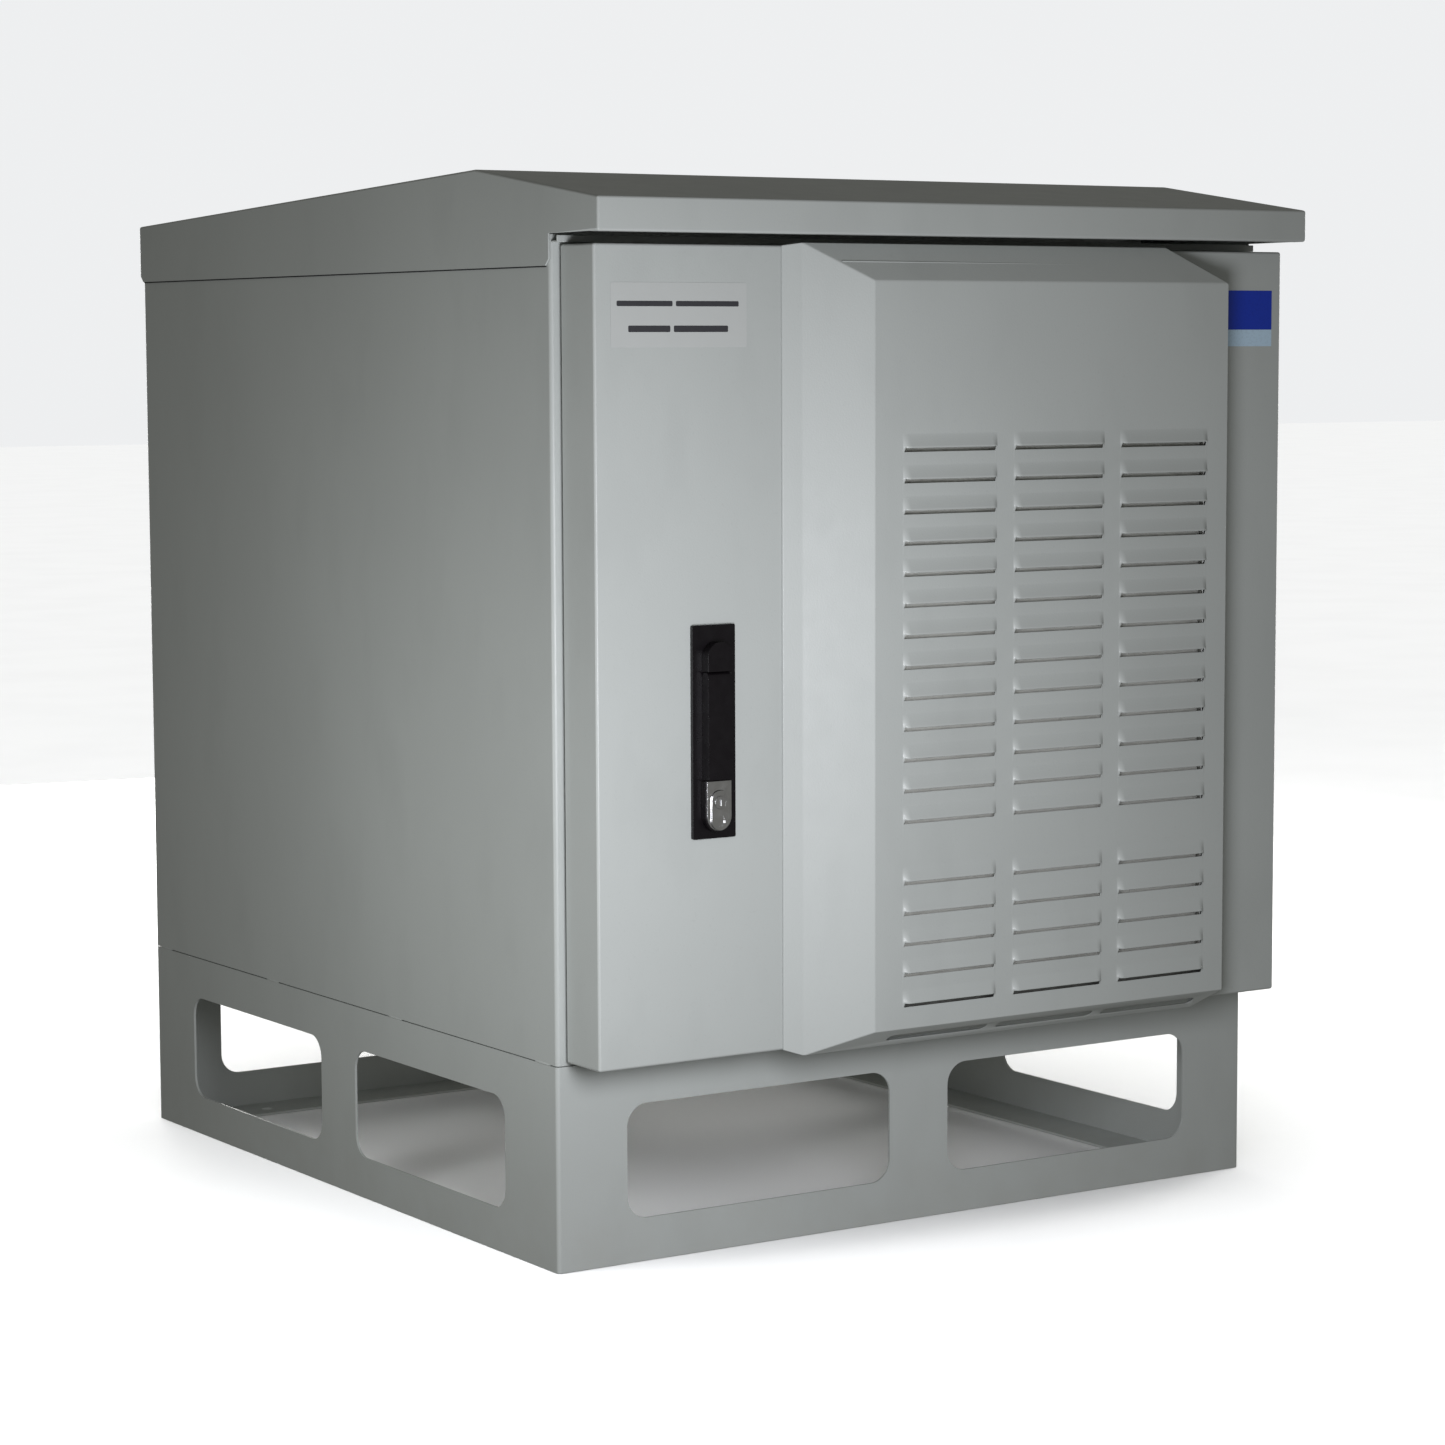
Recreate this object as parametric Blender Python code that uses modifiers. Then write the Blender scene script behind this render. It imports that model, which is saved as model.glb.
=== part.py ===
"""Outdoor battery cabinet: folded steel body on a windowed plinth, overhanging roof, louvred door.

Lengths are in metres. Inside this file y is measured from the front plane of the body, +y to the
rear. The origin empty then moves everything so that the cabinet's box is centred over y = 0.
"""

import math

import bmesh
import bpy
from mathutils import Matrix, Vector

# Driving dimensions
WIDTH = 0.850
DEPTH = 0.900
PLINTH_HEIGHT = 0.200
BODY_TOP = 0.985
RIDGE_HEIGHT = 1.050
GAP = 0.0003
BODY_SHEET = 0.002
PLINTH_SHEET = 0.0025
COVER_SHEET = 0.0015

# Plinth
PLINTH_TOP = PLINTH_HEIGHT - GAP
BOTTOM_FLANGE = 0.060
TOP_FLANGE = 0.040
WINDOW_LOW = 0.0424
WINDOW_HIGH = 0.1552
WINDOW_RADIUS = 0.0225
FRONT_POST = 0.072
FRONT_WINDOW = 0.311
SIDE_POST = 0.0765
SIDE_WINDOW = 0.3135
SIDE_WINDOW_SHIFT = 0.002
ANCHOR_RADIUS = 0.0065
ANCHOR_INSET = 0.6 * BOTTOM_FLANGE
ANCHOR_SHARE = 0.36
FLANGE_REACH = 0.08

# How far a cutter reaches past what it cuts
BEYOND = 0.01

# Roof
ROOF_HALF = WIDTH / 2 + GAP + COVER_SHEET
ROOF_FRONT = -0.0888
ROOF_REAR = DEPTH + 0.005
EAVE_HEIGHT = 1.0176
LIP_BOTTOM = 0.9857
SKIRT_BOTTOM = 0.956
RIDGE_Y = 0.1373
LIP_RETURN = 0.015

# Door
DOOR_HALF = 0.416
DOOR_BOTTOM = 0.204
DOOR_TOP = 0.9757
DOOR_FACE = -0.063
DOOR_BACK = -0.003
DOOR_RETURN = 0.020
HINGE_X = 0.4215
HINGE_Y = -0.0065
HINGE_HEIGHTS = (0.330, 0.850)
HINGE_REACH = 0.030
BARREL_RADIUS = 0.005
PIN_RADIUS = 0.0025

# Louvred hood on the door
HOOD_DEPTH = 0.036
HOOD_RIM = 0.008
HOOD_BOTTOM = 0.1975
HOOD_TOP = 0.9785
HOOD_LEFT = -0.2088
HOOD_RIM_LEFT = -0.1901
HOOD_RIGHT = 0.3204
HOOD_TOP_END = 0.2550
HOOD_BOTTOM_END = 0.2960
HOOD_SIDE_BOTTOM = 0.235
HOOD_SIDE_TOP = 0.925
PANEL_LEFT = -0.1246
PANEL_RIGHT = 0.3144
PANEL_BOTTOM = 0.218
PANEL_TOP = 0.9426
LOUVRE_CENTRES = (-0.0356, 0.0981, 0.2313)
LOUVRE_WIDTH = 0.1145
LOUVRE_HEIGHT = 0.014
LOUVRE_DEPTH = 0.0065
LOUVRE_PITCH = 0.030
LOUVRE_FIRST = 0.7833
LOUVRE_ROWS = tuple(row for row in range(19) if row != 13)

# Handle and latch
HANDLE_X = -0.2889
PLATE_HALF = 0.0239
PLATE_BOTTOM = 0.4169
PLATE_TOP = 0.6198
PLATE_FRONT = DOOR_FACE - GAP - 0.004
TURN_Z = 0.5905
LEVER_HALF = 0.0135
LEVER_BOTTOM = 0.4737
LEVER_PIVOT_Z = 0.5700
LEVER_PIVOT_Y = PLATE_FRONT - 0.0059
LEVER_FRONT = PLATE_FRONT - 0.0115
LEVER_TOP = LEVER_PIVOT_Z + 0.0058
SPINDLE_RADIUS = 0.0050
LOCK_BOTTOM = 0.425
LOCK_TOP = 0.4722
LOCK_FRONT = PLATE_FRONT - 0.0087
BUTTON_HALF = 0.0095
BUTTON_LOW = 0.4350
BUTTON_HIGH = 0.4540
CORE_Z = 0.4520
CORE_RADIUS = 0.0060
KEYWAY_HALF = (0.0007, 0.0032)
ROD_FRONT = 0.0063
ROD_REAR = 0.0123
ROD_HALF = 0.007

# Door frame
OPENING_HALF = 0.385
OPENING_BOTTOM = 0.245
OPENING_TOP = 0.940
FRAME_LIP = 0.018
KEEPER_HALF = 0.020
KEEPER_HEIGHT = 0.024

# Fans and filter
FAN_X = 0.0981
FAN_HEIGHTS = (0.400, 0.640)
FAN_SIZE = 0.120
FAN_BORE = 0.057
FAN_FRONT = DOOR_FACE + COVER_SHEET + GAP
FAN_REAR = FAN_FRONT + 0.038
FILTER_LEFT = -0.110
FILTER_RIGHT = 0.304
FILTER_BOTTOM = 0.232
FILTER_TOP = 0.802
FILTER_DEPTH = 0.026
FILTER_BORDER = 0.012

# Batteries and equipment bay
BLOCK_WIDTH = 0.125
BLOCK_LENGTH = 0.560
BLOCK_HEIGHT = 0.318
BLOCK_PITCH = 0.137
BLOCK_FRONT = 0.120
TRAY_HALF = 0.290
TRAY_FRONT = 0.100
TRAY_REAR = 0.700
TRAY_SHEET = 0.002
TRAY_HEIGHT = 0.020
RECESS_HALF = 0.050
RECESS_DEPTH = 0.012
LINK_INSET = 0.028
CLAMP_HALF = 0.300
CLAMP_HEIGHTS = (0.340, 0.370)
SHELF_FRONT = 0.060
SHELF_REAR = 0.700
SHELF_Z = 0.560
RAIL_FRONT = 0.080
RAIL_INNER = 0.2225
RAIL_OUTER = 0.2500
RAIL_DEPTH = 0.040
RAIL_SHEET = 0.002
PANEL_19_HALF = 0.2413
PANEL_19_HEIGHT = 0.133
BREAKER_Z = 0.820
BREAKER_CENTRES = (-0.040, 0.040)
BREAKER_HALF_WIDTH = 0.0177
BREAKER_HALF_HEIGHT = 0.042
BREAKER_DEPTH = 0.060
BREAKER_NOSE = 0.006
BREAKER_NOSE_HALF = 0.0225
TOGGLE_HALF = 0.0058
TOGGLE_RADIUS = 0.0060
TOGGLE_TILT = -38

# Cable entry and earth bar
PLATE_SIDES = (-0.140, 0.140)
PLATE_ENDS = (0.725, 0.865)
GLAND_PLACES = (-0.055, 0.055)
GLAND_Y = 0.795
GLAND_HEIGHTS = (0.183, 0.232)
GLAND_RADIUS = 0.0160
GLAND_BORE = 0.0095
EARTH_BAR_ENDS = (0.250, 0.550)
EARTH_BAR_HEIGHTS = (0.640, 0.665)
EARTH_POSTS = (0.275, 0.525)

# Support frame under the roof cover: sides, ends, and a riser for each slope
SUPPORT_HALF = 0.380
SUPPORT_ENDS = (0.120, 0.875)
SUPPORT_BORDER = 0.035
RISER_HALF = 0.370
FRONT_RISER = (0.125, 0.150, 1.0450)
REAR_RISER = (0.845, 0.870, 1.0150)

# Distance from the front plane of the body to the middle of the whole cabinet
FRONT_EXTENT = DOOR_FACE - HOOD_DEPTH - LOUVRE_DEPTH
ORIGIN_SHIFT = -(ROOF_REAR + FRONT_EXTENT) / 2

# A local XY outline turned so that it is extruded along X, Y or Z
EXTRUDE_ALONG = {
    "X": Matrix(((0, 0, 1), (1, 0, 0), (0, 1, 0))).to_4x4(),
    "Y": Matrix(((1, 0, 0), (0, 0, -1), (0, 1, 0))).to_4x4(),
    "Z": Matrix.Identity(4),
}

MATERIALS = {
    "grey_paint": ((0.42, 0.45, 0.43), 0.45, 0.0),
    "inner_paint": ((0.50, 0.52, 0.50), 0.50, 0.0),
    "zinc_steel": ((0.62, 0.62, 0.60), 0.35, 1.0),
    "chrome_metal": ((0.75, 0.75, 0.76), 0.20, 1.0),
    "black_plastic": ((0.015, 0.015, 0.018), 0.40, 0.0),
    "grey_plastic": ((0.30, 0.31, 0.33), 0.45, 0.0),
    "light_plastic": ((0.72, 0.72, 0.70), 0.45, 0.0),
    "copper_bar": ((0.80, 0.42, 0.28), 0.30, 1.0),
    "foam_rubber": ((0.03, 0.03, 0.03), 0.90, 0.0),
    "filter_fleece": ((0.80, 0.80, 0.76), 0.95, 0.0),
}


def clear_scene():
    for obj in list(bpy.data.objects):
        bpy.data.objects.remove(obj, do_unlink=True)


def make_collection(name):
    collection = bpy.data.collections.new(name)
    bpy.context.scene.collection.children.link(collection)
    return collection


def make_material(name):
    colour, roughness, metallic = MATERIALS[name]
    material = bpy.data.materials.new(name)
    material.use_nodes = True
    shader = material.node_tree.nodes["Principled BSDF"]
    shader.inputs["Base Color"].default_value = (*colour, 1.0)
    shader.inputs["Roughness"].default_value = roughness
    shader.inputs["Metallic"].default_value = metallic
    return material


class Cabinet:
    """Holds the collections, the materials and the joint empties while the parts are made."""

    def __init__(self):
        self.parts = make_collection("battery_cabinet")
        self.tools = make_collection("cutters")
        self.materials = {name: make_material(name) for name in MATERIALS}
        self.axes = {}
        self.body = "cabinet"
        self.add_axis("cabinet", None, (0.0, 0.0, 0.0))
        self.axes["cabinet"].location.y = ORIGIN_SHIFT

    def add_axis(self, name, parent, place):
        """An empty on the axis of a joint; the pieces that the joint moves are its children."""
        empty = bpy.data.objects.new(name + "_axis", None)
        empty.location = place
        empty["place"] = place
        self.parts.objects.link(empty)
        if parent:
            self.attach(empty, parent)
        self.axes[name] = empty

    def attach(self, obj, body):
        empty = self.axes[body]
        obj.parent = empty
        obj.matrix_parent_inverse = Matrix.Translation(-Vector(empty["place"]))

    def add(self, name, mesh, place=(0.0, 0.0, 0.0)):
        obj = bpy.data.objects.new(name, mesh)
        obj.location = place
        self.attach(obj, self.body)
        self.parts.objects.link(obj)
        return obj

    def finish_part(self, obj, material):
        obj.data.materials.clear()
        obj.data.materials.append(self.materials[material])
        return obj

    def make_tool(self, obj):
        """Turns an object into a cutter: it is drawn as wire and is no part of the cabinet."""
        self.parts.objects.unlink(obj)
        self.tools.objects.link(obj)
        obj.name = "cutter_" + obj.name
        obj.hide_render = True
        obj.display_type = "WIRE"

    def combine(self, obj, operation, tools):
        for tool in tools:
            self.make_tool(tool)
            modifier = obj.modifiers.new(operation.lower(), "BOOLEAN")
            modifier.operation = operation
            modifier.solver = "EXACT"
            modifier.object = tool
        return obj

    def cut(self, obj, *tools):
        return self.combine(obj, "DIFFERENCE", tools)

    def unite(self, obj, *tools):
        return self.combine(obj, "UNION", tools)


def mesh_from(name, build):
    """Runs a bmesh builder and returns the closed mesh with its faces pointing out."""
    work = bmesh.new()
    build(work)
    bmesh.ops.recalc_face_normals(work, faces=work.faces)
    mesh = bpy.data.meshes.new(name)
    work.to_mesh(mesh)
    work.free()
    return mesh


def box(cab, name, low, high):
    size = Vector(high) - Vector(low)

    def build(work):
        bmesh.ops.create_cube(work, size=1.0, matrix=Matrix.Diagonal((*size, 1.0)))

    return cab.add(name, mesh_from(name, build), (Vector(low) + Vector(high)) / 2)


def cylinder(cab, name, start, end, radius, segments=24):
    axis = Vector(end) - Vector(start)
    turn = Vector((0, 0, 1)).rotation_difference(axis).to_matrix().to_4x4()

    def build(work):
        bmesh.ops.create_cone(
            work, cap_ends=True, segments=segments, radius1=radius, radius2=radius,
            depth=axis.length, matrix=turn,
        )

    obj = cab.add(name, mesh_from(name, build), (Vector(start) + Vector(end)) / 2)
    obj.data.shade_smooth()
    obj.data.set_sharp_from_angle(angle=math.radians(40))
    return obj


def prism(cab, name, outline, axis, low, high, holes=()):
    """A flat outline with optional holes, extruded along X, Y or Z from low to high."""
    curve = bpy.data.curves.new(name, "CURVE")
    curve.dimensions = "2D"
    curve.fill_mode = "BOTH"
    curve.extrude = (high - low) / 2
    for points in (outline, *holes):
        spline = curve.splines.new("POLY")
        spline.points.add(len(points) - 1)
        for place, point in zip(spline.points, points):
            place.co = (*point, 0.0, 1.0)
        spline.use_cyclic_u = True
    holder = bpy.data.objects.new(name + "_outline", curve)
    cab.tools.objects.link(holder)
    ready = holder.evaluated_get(bpy.context.evaluated_depsgraph_get())
    flat = bpy.data.meshes.new_from_object(ready)

    def build(work):
        work.from_mesh(flat)
        bmesh.ops.remove_doubles(work, verts=work.verts, dist=1e-6)
        bmesh.ops.transform(work, matrix=EXTRUDE_ALONG[axis], verts=work.verts)

    mesh = mesh_from(name, build)
    bpy.data.objects.remove(holder, do_unlink=True)
    place = Vector((0.0, 0.0, 0.0))
    place["XYZ".index(axis)] = (low + high) / 2
    return cab.add(name, mesh, place)


def hull(cab, name, points):
    """The closed convex solid around a set of corner points."""

    def build(work):
        for point in points:
            work.verts.new(point)
        bmesh.ops.convex_hull(work, input=work.verts)

    return cab.add(name, mesh_from(name, build))


def merged(cab, name, pieces):
    """Separate tools copied into one mesh, so that a single Boolean uses them all."""

    def build(work):
        for piece in pieces:
            copy = piece.data.copy()
            copy.transform(Matrix.Translation(piece.location) @ piece.rotation_euler.to_matrix().to_4x4())
            work.from_mesh(copy)

    mesh = mesh_from(name, build)
    for piece in pieces:
        bpy.data.objects.remove(piece, do_unlink=True)
    return cab.add(name, mesh)


def arc(centre, radius, start, end, steps):
    """Points on an arc, with the angles in degrees."""
    points = []
    for step in range(steps + 1):
        angle = math.radians(start + (end - start) * step / steps)
        points.append((centre[0] + radius * math.cos(angle), centre[1] + radius * math.sin(angle)))
    return points


def rounded_rectangle(left, right, low, high, radius, steps=4):
    points = arc((right - radius, high - radius), radius, 0, 90, steps)
    points += arc((left + radius, high - radius), radius, 90, 180, steps)
    points += arc((left + radius, low + radius), radius, 180, 270, steps)
    points += arc((right - radius, low + radius), radius, 270, 360, steps)
    return points


def rectangle(left, right, low, high):
    return [(left, low), (right, low), (right, high), (left, high)]


# ---------------------------------------------------------------- plinth


def channel_outline(outer, inward):
    """A C section: web at outer, flanges running inward (+1 or -1) at the bottom and the top."""
    web = outer + inward * PLINTH_SHEET
    return [
        (outer, 0.0),
        (outer + inward * BOTTOM_FLANGE, 0.0),
        (outer + inward * BOTTOM_FLANGE, PLINTH_SHEET),
        (web, PLINTH_SHEET),
        (web, PLINTH_TOP - PLINTH_SHEET),
        (outer + inward * TOP_FLANGE, PLINTH_TOP - PLINTH_SHEET),
        (outer + inward * TOP_FLANGE, PLINTH_TOP),
        (outer, PLINTH_TOP),
    ]


def flange_notches(cab, across, along):
    """Cutters that end the flanges of a channel where the next panel's flanges begin."""
    x = sorted(across)
    y = sorted(along)
    reach = PLINTH_SHEET + 0.005
    heights = ((-BEYOND, reach), (PLINTH_TOP - reach, PLINTH_TOP + BEYOND))
    return [box(cab, "notch", (x[0], y[0], low), (x[1], y[1], high)) for low, high in heights]


def anchor_hole(cab, name, x, y):
    return cylinder(cab, name + "_hole", (x, y, -BEYOND), (x, y, BEYOND), ANCHOR_RADIUS, 16)


def make_crosswise_plinth_panel(cab, name, outer, inward):
    obj = prism(cab, name, channel_outline(outer, inward), "X", -WIDTH / 2, WIDTH / 2)
    tools = []
    for side in (-1, 1):
        near = side * FRONT_POST / 2
        far = side * (FRONT_POST / 2 + FRONT_WINDOW)
        window = rounded_rectangle(min(near, far), max(near, far), WINDOW_LOW, WINDOW_HIGH, WINDOW_RADIUS)
        tools.append(prism(cab, name + "_window", window, "Y", outer - BEYOND, outer + BEYOND))
        tools.append(anchor_hole(cab, name, side * WIDTH * ANCHOR_SHARE, outer + inward * ANCHOR_INSET))
        end = side * (WIDTH / 2 - PLINTH_SHEET - GAP)
        along = (outer + inward * PLINTH_SHEET, outer + inward * FLANGE_REACH)
        tools += flange_notches(cab, (end, side * WIDTH), along)
    cab.cut(obj, merged(cab, name + "_openings", tools))
    cab.finish_part(obj, "grey_paint")


def make_lengthwise_plinth_panel(cab, name, side):
    outer = side * WIDTH / 2
    start = PLINTH_SHEET + GAP
    end = DEPTH - PLINTH_SHEET - GAP
    obj = prism(cab, name, channel_outline(outer, -side), "Y", start, end)
    tools = []
    middle = DEPTH / 2 + SIDE_WINDOW_SHIFT
    for half in (-1, 1):
        near = middle + half * SIDE_POST / 2
        far = near + half * SIDE_WINDOW
        window = rounded_rectangle(min(near, far), max(near, far), WINDOW_LOW, WINDOW_HIGH, WINDOW_RADIUS)
        tools.append(prism(cab, name + "_window", window, "X", outer - BEYOND, outer + BEYOND))
        y = DEPTH / 2 + half * DEPTH * ANCHOR_SHARE
        tools.append(anchor_hole(cab, name, outer - side * ANCHOR_INSET, y))
        edge = DEPTH / 2 + half * (DEPTH / 2 - BOTTOM_FLANGE - GAP)
        across = (outer - side * PLINTH_SHEET, outer - side * FLANGE_REACH)
        tools += flange_notches(cab, across, (edge, DEPTH / 2 + half * DEPTH))
    cab.cut(obj, merged(cab, name + "_openings", tools))
    cab.finish_part(obj, "grey_paint")


def make_plinth(cab):
    make_crosswise_plinth_panel(cab, "plinth_front_panel", 0.0, 1)
    make_crosswise_plinth_panel(cab, "plinth_rear_panel", DEPTH, -1)
    make_lengthwise_plinth_panel(cab, "plinth_left_panel", -1)
    make_lengthwise_plinth_panel(cab, "plinth_right_panel", 1)


# ---------------------------------------------------------------- body and roof

BODY_BOTTOM = PLINTH_HEIGHT
INNER_HALF = WIDTH / 2 - BODY_SHEET - GAP
FLOOR_TOP = BODY_BOTTOM + BODY_SHEET


def make_body_panels(cab):
    for name, side in (("left_side_panel", -1), ("right_side_panel", 1)):
        x = sorted((side * WIDTH / 2, side * (WIDTH / 2 - BODY_SHEET)))
        panel = box(cab, name, (x[0], 0.0, BODY_BOTTOM), (x[1], DEPTH, BODY_TOP))
        cab.finish_part(panel, "grey_paint")
    rear = box(
        cab, "rear_panel", (-INNER_HALF, DEPTH - BODY_SHEET, BODY_BOTTOM), (INNER_HALF, DEPTH, BODY_TOP),
    )
    cab.finish_part(rear, "grey_paint")
    inside = BODY_SHEET + GAP
    ceiling = box(
        cab, "ceiling_plate",
        (-INNER_HALF, inside, BODY_TOP - BODY_SHEET), (INNER_HALF, DEPTH - inside, BODY_TOP),
    )
    cab.finish_part(ceiling, "inner_paint")
    floor = box(
        cab, "floor_plate", (-INNER_HALF, inside, BODY_BOTTOM), (INNER_HALF, DEPTH - inside, FLOOR_TOP),
    )
    left, right = PLATE_SIDES
    start, end = PLATE_ENDS
    rim = 0.020
    cutout = box(
        cab, "gland_cutout",
        (left + rim, start + rim, BODY_BOTTOM - BEYOND), (right - rim, end - rim, FLOOR_TOP + BEYOND),
    )
    cab.finish_part(cab.cut(floor, cutout), "inner_paint")


def make_door_frame(cab):
    opening = rectangle(-OPENING_HALF, OPENING_HALF, OPENING_BOTTOM, OPENING_TOP)
    frame = prism(
        cab, "door_frame", rectangle(-INNER_HALF, INNER_HALF, BODY_BOTTOM, BODY_TOP), "Y", 0.0, BODY_SHEET,
        holes=[opening],
    )
    lip_outer = rectangle(
        -OPENING_HALF - COVER_SHEET, OPENING_HALF + COVER_SHEET,
        OPENING_BOTTOM - COVER_SHEET, OPENING_TOP + COVER_SHEET,
    )
    lip = prism(cab, "door_frame_lip", lip_outer, "Y", -FRAME_LIP, 0.001, holes=[opening])
    cab.finish_part(cab.unite(frame, lip), "grey_paint")


def make_rain_gutter(cab):
    low = DOOR_TOP + 0.0018
    outline = [
        (-0.011, low), (-GAP, low), (-GAP, low + 0.0015), (-0.0095, low + 0.0015),
        (-0.0095, low + 0.0065), (-0.011, low + 0.0065),
    ]
    half = WIDTH / 2 - 0.0015
    cab.finish_part(prism(cab, "rain_gutter", outline, "X", -half, half), "grey_paint")


def make_roof(cab):
    sheet = COVER_SHEET
    front_cut = 0.006
    rear_cut = 0.008
    outer = [
        (ROOF_FRONT, LIP_BOTTOM), (0.0, LIP_BOTTOM),
        (0.0, SKIRT_BOTTOM + front_cut), (front_cut, SKIRT_BOTTOM),
        (ROOF_REAR - rear_cut, SKIRT_BOTTOM), (ROOF_REAR, SKIRT_BOTTOM + rear_cut),
        (ROOF_REAR, EAVE_HEIGHT), (RIDGE_Y, RIDGE_HEIGHT), (ROOF_FRONT, EAVE_HEIGHT),
    ]
    below = SKIRT_BOTTOM - BEYOND
    inner = [
        (ROOF_FRONT + sheet, LIP_BOTTOM + sheet), (ROOF_FRONT + LIP_RETURN, LIP_BOTTOM + sheet),
        (ROOF_FRONT + LIP_RETURN, below), (ROOF_REAR - sheet, below),
        (ROOF_REAR - sheet, EAVE_HEIGHT - sheet), (RIDGE_Y, RIDGE_HEIGHT - sheet),
        (ROOF_FRONT + sheet, EAVE_HEIGHT - sheet),
    ]
    roof = prism(cab, "roof_cover", outer, "X", -ROOF_HALF, ROOF_HALF)
    hollow = prism(cab, "roof_hollow", inner, "X", -ROOF_HALF + sheet, ROOF_HALF - sheet)
    cab.finish_part(cab.cut(roof, hollow), "grey_paint")


def make_roof_support(cab):
    """Two cross rails on the ceiling plate, tied by side strips, that carry the roof cover."""
    low = BODY_TOP + GAP
    strip_top = low + 0.015
    start, end = SUPPORT_ENDS
    inner_half = SUPPORT_HALF - SUPPORT_BORDER
    frame = prism(
        cab, "roof_support", rectangle(-SUPPORT_HALF, SUPPORT_HALF, start, end), "Z", low, strip_top,
        holes=[rectangle(-inner_half, inner_half, start + SUPPORT_BORDER, end - SUPPORT_BORDER)],
    )
    risers = []
    for near, far, top in (FRONT_RISER, REAR_RISER):
        risers.append(box(cab, "riser", (-RISER_HALF, near, strip_top - 0.005), (RISER_HALF, far, top)))
    cab.finish_part(cab.unite(frame, *risers), "zinc_steel")


# ---------------------------------------------------------------- hinges


def upright(cab, name, low, high, radius, segments):
    """A cylinder on the axis of the door's hinges."""
    return cylinder(cab, name, (HINGE_X, HINGE_Y, low), (HINGE_X, HINGE_Y, high), radius, segments)


def make_hinge(cab, number, height):
    """A weld-on pin hinge in the step between the door's edge and the body's corner."""
    low = height - HINGE_REACH
    high = height + HINGE_REACH
    bore_radius = PIN_RADIUS + GAP
    base = upright(cab, f"hinge_base_{number}", low, height - GAP / 2, BARREL_RADIUS, 20)
    foot = box(
        cab, "foot", (HINGE_X - 0.0035, HINGE_Y, low + 0.001), (HINGE_X + 0.003, -GAP, height - 0.001),
    )
    bore = upright(cab, "bore", low - 0.005, height + 0.005, bore_radius, 16)
    cab.finish_part(cab.cut(cab.unite(base, foot), bore), "grey_paint")
    pin = upright(cab, f"hinge_pin_{number}", low + 0.0005, high - 0.0005, PIN_RADIUS, 16)
    cab.finish_part(pin, "zinc_steel")
    cab.body = "door"
    leaf = upright(cab, f"hinge_leaf_{number}", height + GAP / 2, high, BARREL_RADIUS, 20)
    plate = box(
        cab, "plate",
        (DOOR_HALF + GAP, -0.045, height + 0.001), (DOOR_HALF + 0.0018, HINGE_Y, high - 0.001),
    )
    bore = upright(cab, "bore", height - 0.005, high + 0.005, bore_radius, 16)
    cab.finish_part(cab.cut(cab.unite(leaf, plate), bore), "grey_paint")
    cab.body = "cabinet"


def make_keepers(cab):
    front = BODY_SHEET + GAP
    places = (
        ("latch_keeper_top", OPENING_TOP + 0.001),
        ("latch_keeper_bottom", OPENING_BOTTOM - 0.001 - KEEPER_HEIGHT),
    )
    for name, low in places:
        keeper = box(
            cab, name,
            (HANDLE_X - KEEPER_HALF, front, low), (HANDLE_X + KEEPER_HALF, front + 0.003, low + KEEPER_HEIGHT),
        )
        cab.finish_part(keeper, "zinc_steel")


# ---------------------------------------------------------------- inside the body


def make_batteries(cab):
    tray_bottom = FLOOR_TOP + GAP
    sheet = TRAY_SHEET
    tray = box(
        cab, "battery_tray",
        (-TRAY_HALF, TRAY_FRONT, tray_bottom), (TRAY_HALF, TRAY_REAR, tray_bottom + TRAY_HEIGHT),
    )
    pocket = box(
        cab, "tray_pocket",
        (-TRAY_HALF + sheet, TRAY_FRONT + sheet, tray_bottom + sheet),
        (TRAY_HALF - sheet, TRAY_REAR - sheet, tray_bottom + 2 * TRAY_HEIGHT),
    )
    cab.finish_part(cab.cut(tray, pocket), "zinc_steel")
    low = tray_bottom + sheet + GAP
    high = low + BLOCK_HEIGHT
    centres = [BLOCK_PITCH * (index - 1.5) for index in range(4)]
    for index, x in enumerate(centres, 1):
        make_block(cab, index, x, low, high)
    front = BLOCK_FRONT - 0.0005
    for index, x in enumerate(centres[:-1], 1):
        link = box(
            cab, f"battery_link_{index}",
            (x + LINK_INSET, front - 0.003, high - 0.046), (x + BLOCK_PITCH - LINK_INSET, front, high - 0.026),
        )
        cab.finish_part(link, "copper_bar")
    clamp_low, clamp_high = CLAMP_HEIGHTS
    clamp = box(
        cab, "battery_clamp_bar",
        (-CLAMP_HALF, front - 0.0075, clamp_low), (CLAMP_HALF, front, clamp_high),
    )
    cab.finish_part(clamp, "zinc_steel")


def make_block(cab, index, x, low, high):
    """One battery block with bevelled edges and a recess for its terminals at the front."""
    block = box(
        cab, f"battery_block_{index}",
        (x - BLOCK_WIDTH / 2, BLOCK_FRONT, low), (x + BLOCK_WIDTH / 2, BLOCK_FRONT + BLOCK_LENGTH, high),
    )
    bevel = block.modifiers.new("soft_edges", "BEVEL")
    bevel.width = 0.004
    bevel.segments = 1
    recess = box(
        cab, "terminal_recess",
        (x - RECESS_HALF, BLOCK_FRONT - BEYOND, high - 0.060),
        (x + RECESS_HALF, BLOCK_FRONT + RECESS_DEPTH, high - 0.012),
    )
    cab.finish_part(cab.cut(block, recess), "grey_plastic")


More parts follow.
